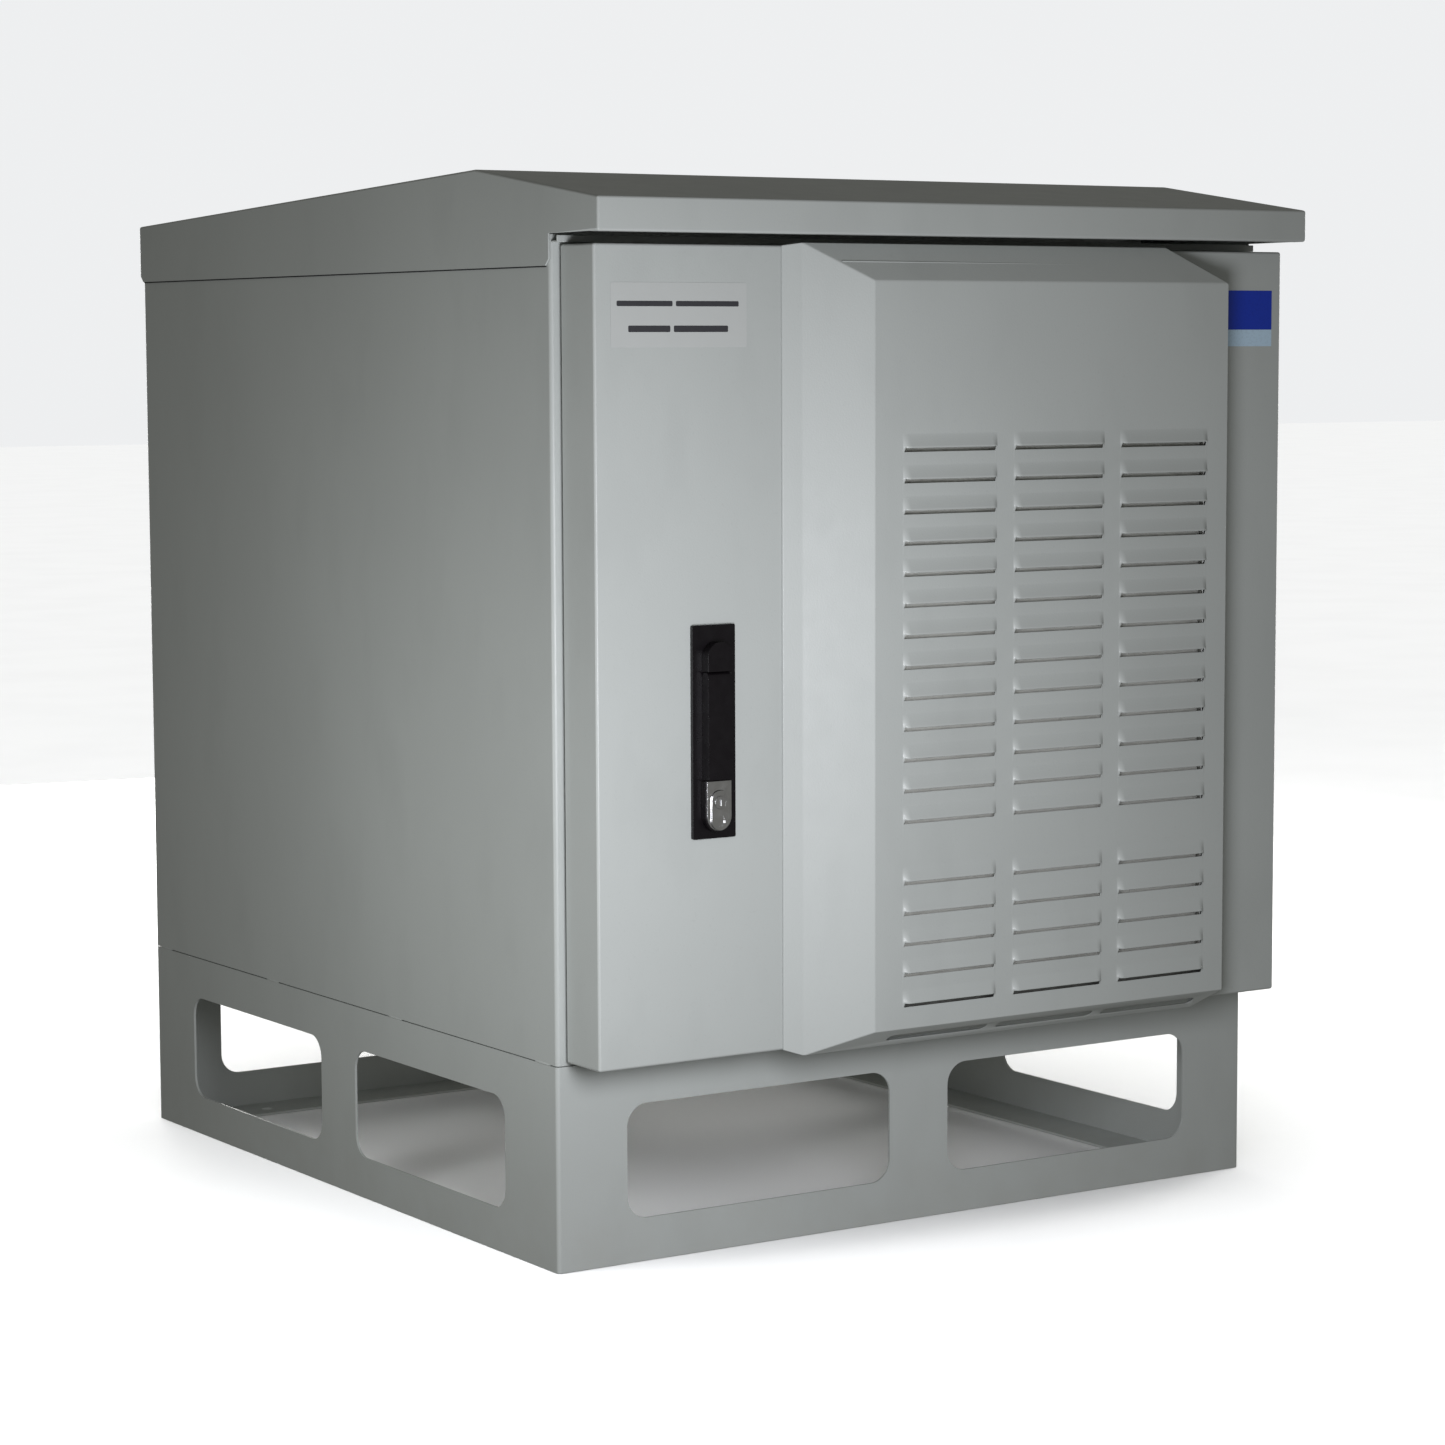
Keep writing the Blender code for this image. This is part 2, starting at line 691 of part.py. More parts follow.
def make_shelf_and_rails(cab):
    half = INNER_HALF - 0.0005
    sheet = RAIL_SHEET
    top = SHELF_Z + sheet
    fold = SHELF_Z - 0.018
    outline = [
        (SHELF_FRONT, fold), (SHELF_FRONT + sheet, fold), (SHELF_FRONT + sheet, SHELF_Z),
        (SHELF_REAR, SHELF_Z), (SHELF_REAR, top), (SHELF_FRONT, top),
    ]
    cab.finish_part(prism(cab, "equipment_shelf", outline, "X", -half, half), "inner_paint")
    low = top + GAP
    high = BODY_TOP - BODY_SHEET - GAP
    rear = RAIL_FRONT + RAIL_DEPTH
    behind = RAIL_FRONT + sheet
    for name, side in (("rack_rail_left", -1), ("rack_rail_right", 1)):
        inner = side * RAIL_INNER
        outer = side * RAIL_OUTER
        web = side * (RAIL_OUTER - sheet)
        outline = [
            (inner, RAIL_FRONT), (outer, RAIL_FRONT), (outer, rear),
            (web, rear), (web, behind), (inner, behind),
        ]
        cab.finish_part(prism(cab, name, outline, "Z", low, high), "zinc_steel")


def make_breakers(cab):
    low = BREAKER_Z - PANEL_19_HEIGHT / 2
    high = BREAKER_Z + PANEL_19_HEIGHT / 2
    rear = RAIL_FRONT - GAP
    front = rear - 0.002
    slots = []
    for x in BREAKER_CENTRES:
        slots.append(rectangle(x - 0.0185, x + 0.0185, BREAKER_Z - 0.0235, BREAKER_Z + 0.0235))
    panel = prism(
        cab, "breaker_panel", rectangle(-PANEL_19_HALF, PANEL_19_HALF, low, high), "Y", front, rear,
        holes=slots,
    )
    cab.finish_part(panel, "inner_paint")
    for number, x in enumerate(BREAKER_CENTRES, 1):
        cab.body = "cabinet"
        make_breaker(cab, number, x, front, rear)
        make_toggle(cab, number, x, front)


def make_breaker(cab, number, x, panel_front, panel_rear):
    """A breaker behind the panel, with its nose through the panel's slot."""
    start = panel_rear + GAP
    end = panel_rear + BREAKER_DEPTH
    nose = panel_front - BREAKER_NOSE
    low, high = BREAKER_Z - BREAKER_HALF_HEIGHT, BREAKER_Z + BREAKER_HALF_HEIGHT
    nose_low, nose_high = BREAKER_Z - BREAKER_NOSE_HALF, BREAKER_Z + BREAKER_NOSE_HALF
    outline = [
        (start, low), (end, low), (end, high), (start, high),
        (start, nose_high), (nose, nose_high), (nose, nose_low), (start, nose_low),
    ]
    half = BREAKER_HALF_WIDTH
    breaker = prism(cab, f"breaker_{number}", outline, "X", x - half, x + half)
    slot = box(
        cab, "toggle_slot",
        (x - 0.0065, panel_front - 0.010, BREAKER_Z - 0.0095),
        (x + 0.0065, panel_front + 0.0085, BREAKER_Z + 0.0095),
    )
    cab.finish_part(cab.cut(breaker, slot), "light_plastic")


def make_toggle(cab, number, x, pivot_y):
    """The rocker of a breaker: a short drum across the slot with a finger tab, up when it is on."""
    cab.add_axis(f"toggle_{number}", "cabinet", (x, pivot_y, BREAKER_Z))
    cab.body = f"toggle_{number}"
    drum = cylinder(
        cab, f"breaker_toggle_{number}",
        (x - TOGGLE_HALF, pivot_y, BREAKER_Z), (x + TOGGLE_HALF, pivot_y, BREAKER_Z), TOGGLE_RADIUS, 20,
    )
    tab = box(cab, "tab", (-0.0050, -0.016, -0.0018), (0.0050, 0.0, 0.0018))
    tab.data.transform(Matrix.Translation(tab.location))
    tab.location = (x, pivot_y, BREAKER_Z)
    tab.rotation_euler = (math.radians(TOGGLE_TILT), 0.0, 0.0)
    cab.finish_part(cab.unite(drum, tab), "black_plastic")
    cab.body = "cabinet"


def circle(centre, radius, steps):
    return arc(centre, radius, 0, 360 - 360 / steps, steps - 1)


def make_cable_entry(cab):
    low = FLOOR_TOP + GAP
    top = low + 0.002
    plate = prism(
        cab, "gland_plate", rectangle(*PLATE_SIDES, *PLATE_ENDS), "Z", low, top,
        holes=[circle((x, GLAND_Y), GLAND_RADIUS + 0.0005, 16) for x in GLAND_PLACES],
    )
    cab.finish_part(plate, "zinc_steel")
    start, end = GLAND_HEIGHTS
    nut_low = top + GAP
    for number, x in enumerate(GLAND_PLACES, 1):
        body = cylinder(
            cab, f"cable_gland_{number}", (x, GLAND_Y, start), (x, GLAND_Y, end), GLAND_RADIUS, 20,
        )
        nut = cylinder(
            cab, "gland_nut", (x, GLAND_Y, nut_low), (x, GLAND_Y, nut_low + 0.010), GLAND_RADIUS + 0.005, 6,
        )
        bore = cylinder(
            cab, "gland_bore", (x, GLAND_Y, start - 0.013), (x, GLAND_Y, end + 0.018), GLAND_BORE, 16,
        )
        cab.finish_part(cab.cut(cab.unite(body, nut), bore), "black_plastic")


def make_earth_bar(cab):
    """A copper bar on two posts, on the inside of the right wall."""
    wall = INNER_HALF - 0.0005
    start, end = EARTH_BAR_ENDS
    low, high = EARTH_BAR_HEIGHTS
    middle = (low + high) / 2
    bar = box(cab, "earth_bar", (wall - 0.021, start, low), (wall - 0.017, end, high))
    posts = []
    for y in EARTH_POSTS:
        posts.append(cylinder(cab, "post", (wall - 0.018, y, middle), (wall, y, middle), 0.008, 16))
    cab.finish_part(cab.unite(bar, merged(cab, "posts", posts)), "copper_bar")


# ---------------------------------------------------------------- door


def make_door_shell(cab):
    shell = box(cab, "door_shell", (-DOOR_HALF, DOOR_FACE, DOOR_BOTTOM), (DOOR_HALF, DOOR_BACK, DOOR_TOP))
    sheet = COVER_SHEET
    pocket = box(
        cab, "door_pocket",
        (-DOOR_HALF + sheet, DOOR_FACE + sheet, DOOR_BOTTOM + sheet),
        (DOOR_HALF - sheet, DOOR_BACK - sheet, DOOR_TOP - sheet),
    )
    mouth = box(
        cab, "door_mouth",
        (-DOOR_HALF + DOOR_RETURN, DOOR_FACE + BEYOND, DOOR_BOTTOM + DOOR_RETURN),
        (DOOR_HALF - DOOR_RETURN, DOOR_BACK + BEYOND, DOOR_TOP - DOOR_RETURN),
    )
    openings = [(FAN_X, z, FAN_BORE, 32) for z in FAN_HEIGHTS]
    openings.append((HANDLE_X, TURN_Z, 0.008, 16))
    holes = []
    for x, z, radius, segments in openings:
        start = (x, DOOR_FACE - BEYOND, z)
        holes.append(cylinder(cab, "hole", start, (x, DOOR_FACE + BEYOND, z), radius, segments))
    cab.cut(shell, pocket, mouth, merged(cab, "door_holes", holes))
    cab.finish_part(shell, "grey_paint")


def make_gasket(cab):
    outer = DOOR_HALF - 0.008
    inner = DOOR_HALF - 0.019
    ring = prism(
        cab, "door_gasket", rectangle(-outer, outer, DOOR_BOTTOM + 0.008, DOOR_TOP - 0.008), "Y",
        DOOR_BACK + GAP, -GAP,
        holes=[rectangle(-inner, inner, DOOR_BOTTOM + 0.019, DOOR_TOP - 0.019)],
    )
    cab.finish_part(ring, "foam_rubber")


def hood_corners(inset, back):
    """Corner points of the hood, or of its hollow when inset is the sheet thickness."""
    face = DOOR_FACE - HOOD_DEPTH + inset
    rim = DOOR_FACE - HOOD_RIM
    low = HOOD_BOTTOM + inset
    high = HOOD_TOP - inset
    left = HOOD_LEFT + 2 * inset
    rim_left = HOOD_RIM_LEFT + 2 * inset
    right = HOOD_RIGHT - inset
    top_end = HOOD_TOP_END - inset
    bottom_end = HOOD_BOTTOM_END - inset
    panel_left, panel_right = PANEL_LEFT + inset, PANEL_RIGHT - inset
    panel_low, panel_high = PANEL_BOTTOM + inset, PANEL_TOP - inset
    return [
        (left, back, low), (left, back, high), (top_end, back, high), (right, back, HOOD_SIDE_TOP),
        (right, back, HOOD_SIDE_BOTTOM), (bottom_end, back, low),
        (rim_left, rim, low), (rim_left, rim, high), (top_end, rim, high), (bottom_end, rim, low),
        (panel_left, face, panel_low), (panel_left, face, panel_high),
        (panel_right, face, panel_high), (panel_right, face, panel_low),
    ]


def louvre_places():
    for x in LOUVRE_CENTRES:
        for row in LOUVRE_ROWS:
            yield x, LOUVRE_FIRST - LOUVRE_PITCH * row


def make_louvre_scoop(cab):
    """One louvre: a slanted blade with closed ends, open below; its lower edge is at z = 0."""
    half = LOUVRE_WIDTH / 2
    face = DOOR_FACE - HOOD_DEPTH
    root = face + 0.001
    deep = face + 0.0025
    crest = face - LOUVRE_DEPTH
    outer = [(root, LOUVRE_HEIGHT), (face, LOUVRE_HEIGHT), (crest, 0.0), (root, 0.0)]
    inner = [(deep, LOUVRE_HEIGHT - 0.0025), (crest + 0.0016, -0.001), (deep, -0.001)]
    scoop = prism(cab, "scoop", outer, "X", -half, half)
    hollow = prism(cab, "scoop_hollow", inner, "X", -half + 0.001, half - 0.001)
    cab.cut(scoop, hollow)
    ready = scoop.evaluated_get(bpy.context.evaluated_depsgraph_get())
    mesh = bpy.data.meshes.new_from_object(ready)
    bpy.data.objects.remove(hollow, do_unlink=True)
    bpy.data.objects.remove(scoop, do_unlink=True)
    return mesh


def make_louvre_hood(cab):
    hood = hull(cab, "louvre_hood", hood_corners(0.0, DOOR_FACE - GAP))
    hollow = hull(cab, "hood_hollow", hood_corners(COVER_SHEET, DOOR_FACE + 0.005))
    face = DOOR_FACE - HOOD_DEPTH
    slots = []
    for x, z in louvre_places():
        half = LOUVRE_WIDTH / 2 - 0.001
        top = z + LOUVRE_HEIGHT - 0.0035
        slots.append(box(cab, "slot", (x - half, face - 0.003, z + 0.0002), (x + half, face + 0.005, top)))
    scoop = make_louvre_scoop(cab)
    scoops = [cab.add("scoop", scoop, (x, 0.0, z)) for x, z in louvre_places()]
    cab.cut(hood, hollow, merged(cab, "louvre_slots", slots))
    cab.unite(hood, merged(cab, "louvre_scoops", scoops))
    cab.finish_part(hood, "grey_paint")


def make_filter(cab):
    rear = DOOR_FACE - GAP
    front = rear - FILTER_DEPTH
    border = FILTER_BORDER
    outline = rectangle(FILTER_LEFT, FILTER_RIGHT, FILTER_BOTTOM, FILTER_TOP)
    opening = rectangle(
        FILTER_LEFT + border, FILTER_RIGHT - border, FILTER_BOTTOM + border, FILTER_TOP - border,
    )
    frame = prism(cab, "filter_frame", outline, "Y", front, rear, holes=[opening])
    cab.finish_part(frame, "zinc_steel")
    inset = border + GAP
    mat = box(
        cab, "filter_mat",
        (FILTER_LEFT + inset, front + 0.003, FILTER_BOTTOM + inset),
        (FILTER_RIGHT - inset, rear - 0.004, FILTER_TOP - inset),
    )
    cab.finish_part(mat, "filter_fleece")


def make_fan(cab, number, height):
    half = FAN_SIZE / 2
    middle = (FAN_FRONT + FAN_REAR) / 2
    cab.body = "door"
    housing = box(
        cab, f"fan_housing_{number}",
        (FAN_X - half, FAN_FRONT, height - half), (FAN_X + half, FAN_REAR, height + half),
    )
    bore = cylinder(
        cab, "fan_bore", (FAN_X, FAN_FRONT - BEYOND, height), (FAN_X, FAN_REAR + BEYOND, height), FAN_BORE, 32,
    )
    boss = cylinder(
        cab, "motor_boss", (FAN_X, FAN_REAR - 0.005, height), (FAN_X, FAN_REAR, height), 0.020, 24,
    )
    struts = []
    reach = FAN_BORE + 0.002
    for tilt in (45, -45):
        strut = box(
            cab, "strut", (-reach, FAN_REAR - 0.0045, -0.0025), (reach, FAN_REAR - 0.0005, 0.0025),
        )
        strut.data.transform(Matrix.Translation(strut.location))
        strut.location = (FAN_X, 0.0, height)
        strut.rotation_euler = (0.0, math.radians(tilt), 0.0)
        struts.append(strut)
    cab.cut(housing, bore)
    cab.unite(housing, *struts, boss)
    cab.finish_part(housing, "black_plastic")
    cab.add_axis(f"rotor_{number}", "door", (FAN_X, middle, height))
    cab.body = f"rotor_{number}"
    hub = cylinder(
        cab, f"fan_rotor_{number}",
        (FAN_X, FAN_FRONT + 0.004, height), (FAN_X, FAN_REAR - 0.0065, height), 0.019, 28,
    )
    blades = []
    for index in range(7):
        blade = box(cab, "blade", (-0.011, -0.0008, 0.015), (0.011, 0.0008, 0.0545))
        blade.data.transform(Matrix.Translation(blade.location))
        blade.data.transform(Matrix.Rotation(math.radians(38), 4, "Z"))
        blade.location = (FAN_X, middle - 0.001, height)
        blade.rotation_euler = (0.0, math.radians(360 / 7 * index), 0.0)
        blades.append(blade)
    cab.unite(hub, merged(cab, "blades", blades))
    cab.finish_part(hub, "black_plastic")
    cab.body = "door"


# ---------------------------------------------------------------- handle, lock and latch


def make_handle_plate(cab):
    plate = prism(
        cab, "handle_plate",
        rounded_rectangle(HANDLE_X - PLATE_HALF, HANDLE_X + PLATE_HALF, PLATE_BOTTOM, PLATE_TOP, 0.0015, 2),
        "Y", PLATE_FRONT, DOOR_FACE - GAP,
        holes=[circle((HANDLE_X, TURN_Z), 0.0075, 16)],
    )
    cab.finish_part(plate, "black_plastic")


def stadium(half, low, high, steps=8):
    """An upright slot shape: half circles of radius half around the centres low and high."""
    points = arc((HANDLE_X, high), half, 0, 180, steps)
    return points + arc((HANDLE_X, low), half, 180, 360, steps)


def make_lock(cab):
    centre = LOCK_BOTTOM + LEVER_HALF
    outline = [(HANDLE_X + LEVER_HALF, LOCK_TOP), (HANDLE_X - LEVER_HALF, LOCK_TOP)]
    outline += arc((HANDLE_X, centre), LEVER_HALF, 180, 360, 12)
    housing = prism(
        cab, "lock_housing", outline, "Y", LOCK_FRONT, PLATE_FRONT - GAP,
        holes=[stadium(BUTTON_HALF + 0.0005, BUTTON_LOW, BUTTON_HIGH)],
    )
    cab.finish_part(housing, "chrome_metal")
    button_rear = PLATE_FRONT - 0.0040
    cab.add_axis("lock_button", "door", (HANDLE_X, LOCK_FRONT, CORE_Z))
    cab.body = "lock_button"
    button = prism(
        cab, "lock_button", stadium(BUTTON_HALF, BUTTON_LOW, BUTTON_HIGH), "Y",
        LOCK_FRONT - 0.0015, button_rear, holes=[circle((HANDLE_X, CORE_Z), CORE_RADIUS + 0.0004, 20)],
    )
    cab.finish_part(button, "chrome_metal")
    cab.add_axis("lock_core", "lock_button", (HANDLE_X, LOCK_FRONT, CORE_Z))
    cab.body = "lock_core"
    core = cylinder(
        cab, "lock_core",
        (HANDLE_X, LOCK_FRONT - 0.0020, CORE_Z), (HANDLE_X, button_rear, CORE_Z), CORE_RADIUS, 20,
    )
    half_x, half_z = KEYWAY_HALF
    keyway = box(
        cab, "keyway",
        (HANDLE_X - half_x, LOCK_FRONT - 0.004, CORE_Z - half_z),
        (HANDLE_X + half_x, LOCK_FRONT + 0.001, CORE_Z + half_z),
    )
    cab.finish_part(cab.cut(core, keyway), "chrome_metal")
    cab.body = "door"


def make_handle(cab):
    """The turning hub at the top, with its spindle and cam inside, and the lever hinged below it."""
    cab.add_axis("handle", "door", (HANDLE_X, PLATE_FRONT, TURN_Z))
    cab.body = "handle"
    hub_outline = arc((HANDLE_X, TURN_Z), LEVER_HALF, 0, 180, 12)
    hub_low = LEVER_TOP + 0.0005
    hub_outline += [(HANDLE_X - LEVER_HALF, hub_low), (HANDLE_X + LEVER_HALF, hub_low)]
    hub = prism(cab, "handle_hub", hub_outline, "Y", LEVER_FRONT, PLATE_FRONT - GAP)
    cab.finish_part(hub, "black_plastic")
    spindle = cylinder(
        cab, "latch_spindle", (HANDLE_X, PLATE_FRONT, TURN_Z), (HANDLE_X, 0.0005, TURN_Z), SPINDLE_RADIUS, 8,
    )
    cam = prism(
        cab, "cam", stadium(0.011, TURN_Z - 0.016, TURN_Z + 0.016), "Y", -0.0002, ROD_FRONT - GAP,
    )
    cab.finish_part(cab.unite(spindle, cam), "zinc_steel")
    cab.add_axis("lever", "handle", (HANDLE_X, LEVER_PIVOT_Y, LEVER_PIVOT_Z))
    cab.body = "lever"
    depth = PLATE_FRONT - GAP - LEVER_FRONT
    side = arc((LEVER_PIVOT_Y, LEVER_PIVOT_Z), depth / 2, 0, 180, 8)
    side += [(LEVER_FRONT, LEVER_BOTTOM), (PLATE_FRONT - GAP, LEVER_BOTTOM)]
    lever = prism(cab, "handle_lever", side, "X", HANDLE_X - LEVER_HALF, HANDLE_X + LEVER_HALF)
    cab.finish_part(lever, "black_plastic")


def make_latch_rods(cab):
    for name, low, high in (
        ("latch_rod_upper", TURN_Z + 0.022, OPENING_TOP - 0.001),
        ("latch_rod_lower", OPENING_BOTTOM + 0.001, TURN_Z - 0.022),
    ):
        cab.add_axis(name, "door", (HANDLE_X, ROD_FRONT, (low + high) / 2))
        cab.body = name
        rod = box(cab, name, (HANDLE_X - ROD_HALF, ROD_FRONT, low), (HANDLE_X + ROD_HALF, ROD_REAR, high))
        cab.finish_part(rod, "zinc_steel")
    cab.body = "door"


def make_cabinet():
    clear_scene()
    cab = Cabinet()
    make_plinth(cab)
    make_body_panels(cab)
    make_door_frame(cab)
    make_rain_gutter(cab)
    make_roof(cab)
    make_roof_support(cab)
    make_keepers(cab)
    make_batteries(cab)
    make_shelf_and_rails(cab)
    make_breakers(cab)
    make_cable_entry(cab)
    make_earth_bar(cab)
    cab.add_axis("door", "cabinet", (HINGE_X, HINGE_Y, 0.0))
    for number, height in enumerate(HINGE_HEIGHTS, 1):
        make_hinge(cab, number, height)
    cab.body = "door"
    make_door_shell(cab)
    make_gasket(cab)
    make_louvre_hood(cab)
    make_filter(cab)
    for number, height in enumerate(FAN_HEIGHTS, 1):
        make_fan(cab, number, height)
    make_handle_plate(cab)
    make_lock(cab)
    make_handle(cab)
    make_latch_rods(cab)


make_cabinet()
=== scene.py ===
"""Outdoor battery cabinet: the visible surfaces, materials, light and camera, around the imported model.

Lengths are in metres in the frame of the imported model, with the door facing -Y. Heights above the
floor and distances across are written as they are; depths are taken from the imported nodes.
"""

import math

import bmesh
import bpy
from mathutils import Matrix, Vector, noise


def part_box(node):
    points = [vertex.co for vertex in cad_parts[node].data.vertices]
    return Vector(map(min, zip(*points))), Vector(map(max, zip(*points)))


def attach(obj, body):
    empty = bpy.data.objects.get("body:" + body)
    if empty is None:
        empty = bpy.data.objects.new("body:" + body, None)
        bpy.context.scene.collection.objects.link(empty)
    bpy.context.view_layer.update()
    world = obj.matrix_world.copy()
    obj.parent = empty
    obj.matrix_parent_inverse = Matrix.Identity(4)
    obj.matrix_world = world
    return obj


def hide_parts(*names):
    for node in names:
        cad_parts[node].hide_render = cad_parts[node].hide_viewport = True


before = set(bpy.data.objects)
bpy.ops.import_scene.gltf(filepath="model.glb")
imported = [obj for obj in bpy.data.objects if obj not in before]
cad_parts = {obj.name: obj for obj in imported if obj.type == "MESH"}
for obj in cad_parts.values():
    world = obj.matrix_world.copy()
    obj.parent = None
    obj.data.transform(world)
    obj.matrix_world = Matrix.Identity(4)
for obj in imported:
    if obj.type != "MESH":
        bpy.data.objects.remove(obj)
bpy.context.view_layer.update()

# Planes of the cabinet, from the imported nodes
BODY_LOW, BODY_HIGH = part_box("left_side_panel")
BODY_FRONT = BODY_LOW.y
BODY_REAR = BODY_HIGH.y
HALF_WIDTH = -BODY_LOW.x
BODY_BOTTOM = BODY_LOW.z
BODY_TOP = BODY_HIGH.z
PLINTH_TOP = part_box("plinth_front_panel")[1].z
DOOR_LOW, DOOR_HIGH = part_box("door_shell")
DOOR_FACE = DOOR_LOW.y
ROOF_LOW, ROOF_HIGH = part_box("roof_cover")
HOOD_LOW, HOOD_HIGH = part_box("louvre_hood")

# Sheet and fold sizes
BODY_SHEET = 0.002
PLINTH_SHEET = 0.0025
COVER_SHEET = 0.0015
FOLD_RADIUS = 0.004
DOOR_EDGE = 0.0026
ROOF_EDGE = 0.0024
EDGE_BREAK = 0.0005
SMOOTH_ANGLE = 32
SEAM = 0.0009

# Plinth
WINDOW_LOW = 0.0424
WINDOW_HIGH = 0.1552
WINDOW_RADIUS = 0.0225
FRONT_WINDOWS = (0.036, 0.347)
SIDE_WINDOWS = (0.03825, 0.35175)
SIDE_WINDOW_MIDDLE = (BODY_FRONT + BODY_REAR) / 2 + 0.002
BOTTOM_FLANGE = 0.060
TOP_FLANGE = 0.040
ANCHOR_RADIUS = 0.0065

# Door opening, roof and door
OPENING_HALF = 0.385
OPENING_LOW = 0.245
OPENING_HIGH = 0.940
RIDGE_Y = BODY_FRONT + 0.1373
EAVE_HEIGHT = 1.0176
LIP_BOTTOM = 0.9857
LIP_RETURN = 0.015
DOOR_RETURN = 0.020
FAN_HOLE = 0.057

# Louvred hood
HOOD_PROUD = 0.036
RIM_PROUD = 0.008
PANEL_LEFT = -0.1246
PANEL_RIGHT = 0.3144
PANEL_LOW = 0.218
PANEL_HIGH = 0.9426
LOUVRE_CENTRES = (-0.0356, 0.0981, 0.2313)
LOUVRE_WIDTH = 0.1145
LOUVRE_HEIGHT = 0.014
LOUVRE_PROUD = 0.0048
LOUVRE_PITCH = 0.030
LOUVRE_FIRST = 0.7833
LOUVRE_ROWS = tuple(row for row in range(19) if row != 13)
LOUVRE_SLOT = 0.0042
LOUVRE_END = 0.0080
HOOD_FACE = DOOR_FACE - HOOD_PROUD
HOOD_RIM = DOOR_FACE - RIM_PROUD
HOOD_BASE = DOOR_FACE - 0.0003
HOOD_STEP = HOOD_BASE - 0.0013
HOOD_SHEET = 0.0011
RIM_LEFT = -0.1901
RIM_TOP_END = 0.2550
RIM_LOW_END = 0.2960
SIDE_LOW = 0.235
SIDE_HIGH = 0.925
UNDER_SLOT_SHIFT = -0.004
UNDER_SLOT_HALF = 0.0605
UNDER_SLOT_MIDDLE = 0.0165
UNDER_SLOT_RADIUS = 0.0062

# Handle and lock
HANDLE_X = -0.2889
LEVER_HALF = 0.0135
TURN_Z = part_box("latch_spindle")[0].z + 0.027
SLIT = 0.0003
COLLAR = 0.0016

# Printed film and sticker: left, right, low, high
FILM_FRONT = DOOR_FACE - 0.0002
FILM_REAR = DOOR_FACE - 0.00002
LABEL = (-0.398, -0.248, 0.880, 0.940)
BAR_ROWS = (
    (0.9204, 0.0025, (-0.3610, 0.0305), (-0.2918, 0.0349)),
    (0.8971, 0.0030, (-0.3560, 0.0230), (-0.2990, 0.0301)),
)
STICKER = (0.3285, 0.4036, 0.879, 0.936)
STICKER_BAND = 0.3

# Inside
RAIL_MIDDLE = 0.2325
RAIL_PATTERN = (0.0159, 0.0159, 0.0127)
RAIL_HOLE_HALF = 0.00475
POLE_OFFSET = 0.0375
POLE_Z = 0.4866
SIGN_Z = 0.4549
GUIDE_HEIGHTS = (0.330, 0.490, 0.700, 0.860)
GUIDE_TALL = 0.014
GUIDE_SHEET = 0.0015
NUT_HEIGHTS = (0.440, 0.548)

AXES = {
    "X": Matrix(((0, 0, 1), (1, 0, 0), (0, 1, 0))).to_4x4(),
    "Y": Matrix(((1, 0, 0), (0, 0, -1), (0, 1, 0))).to_4x4(),
    "Z": Matrix.Identity(4),
}


# ---------------------------------------------------------------- materials


def set_inputs(node, values):
    for socket, value in values.items():
        node.inputs[socket].default_value = value


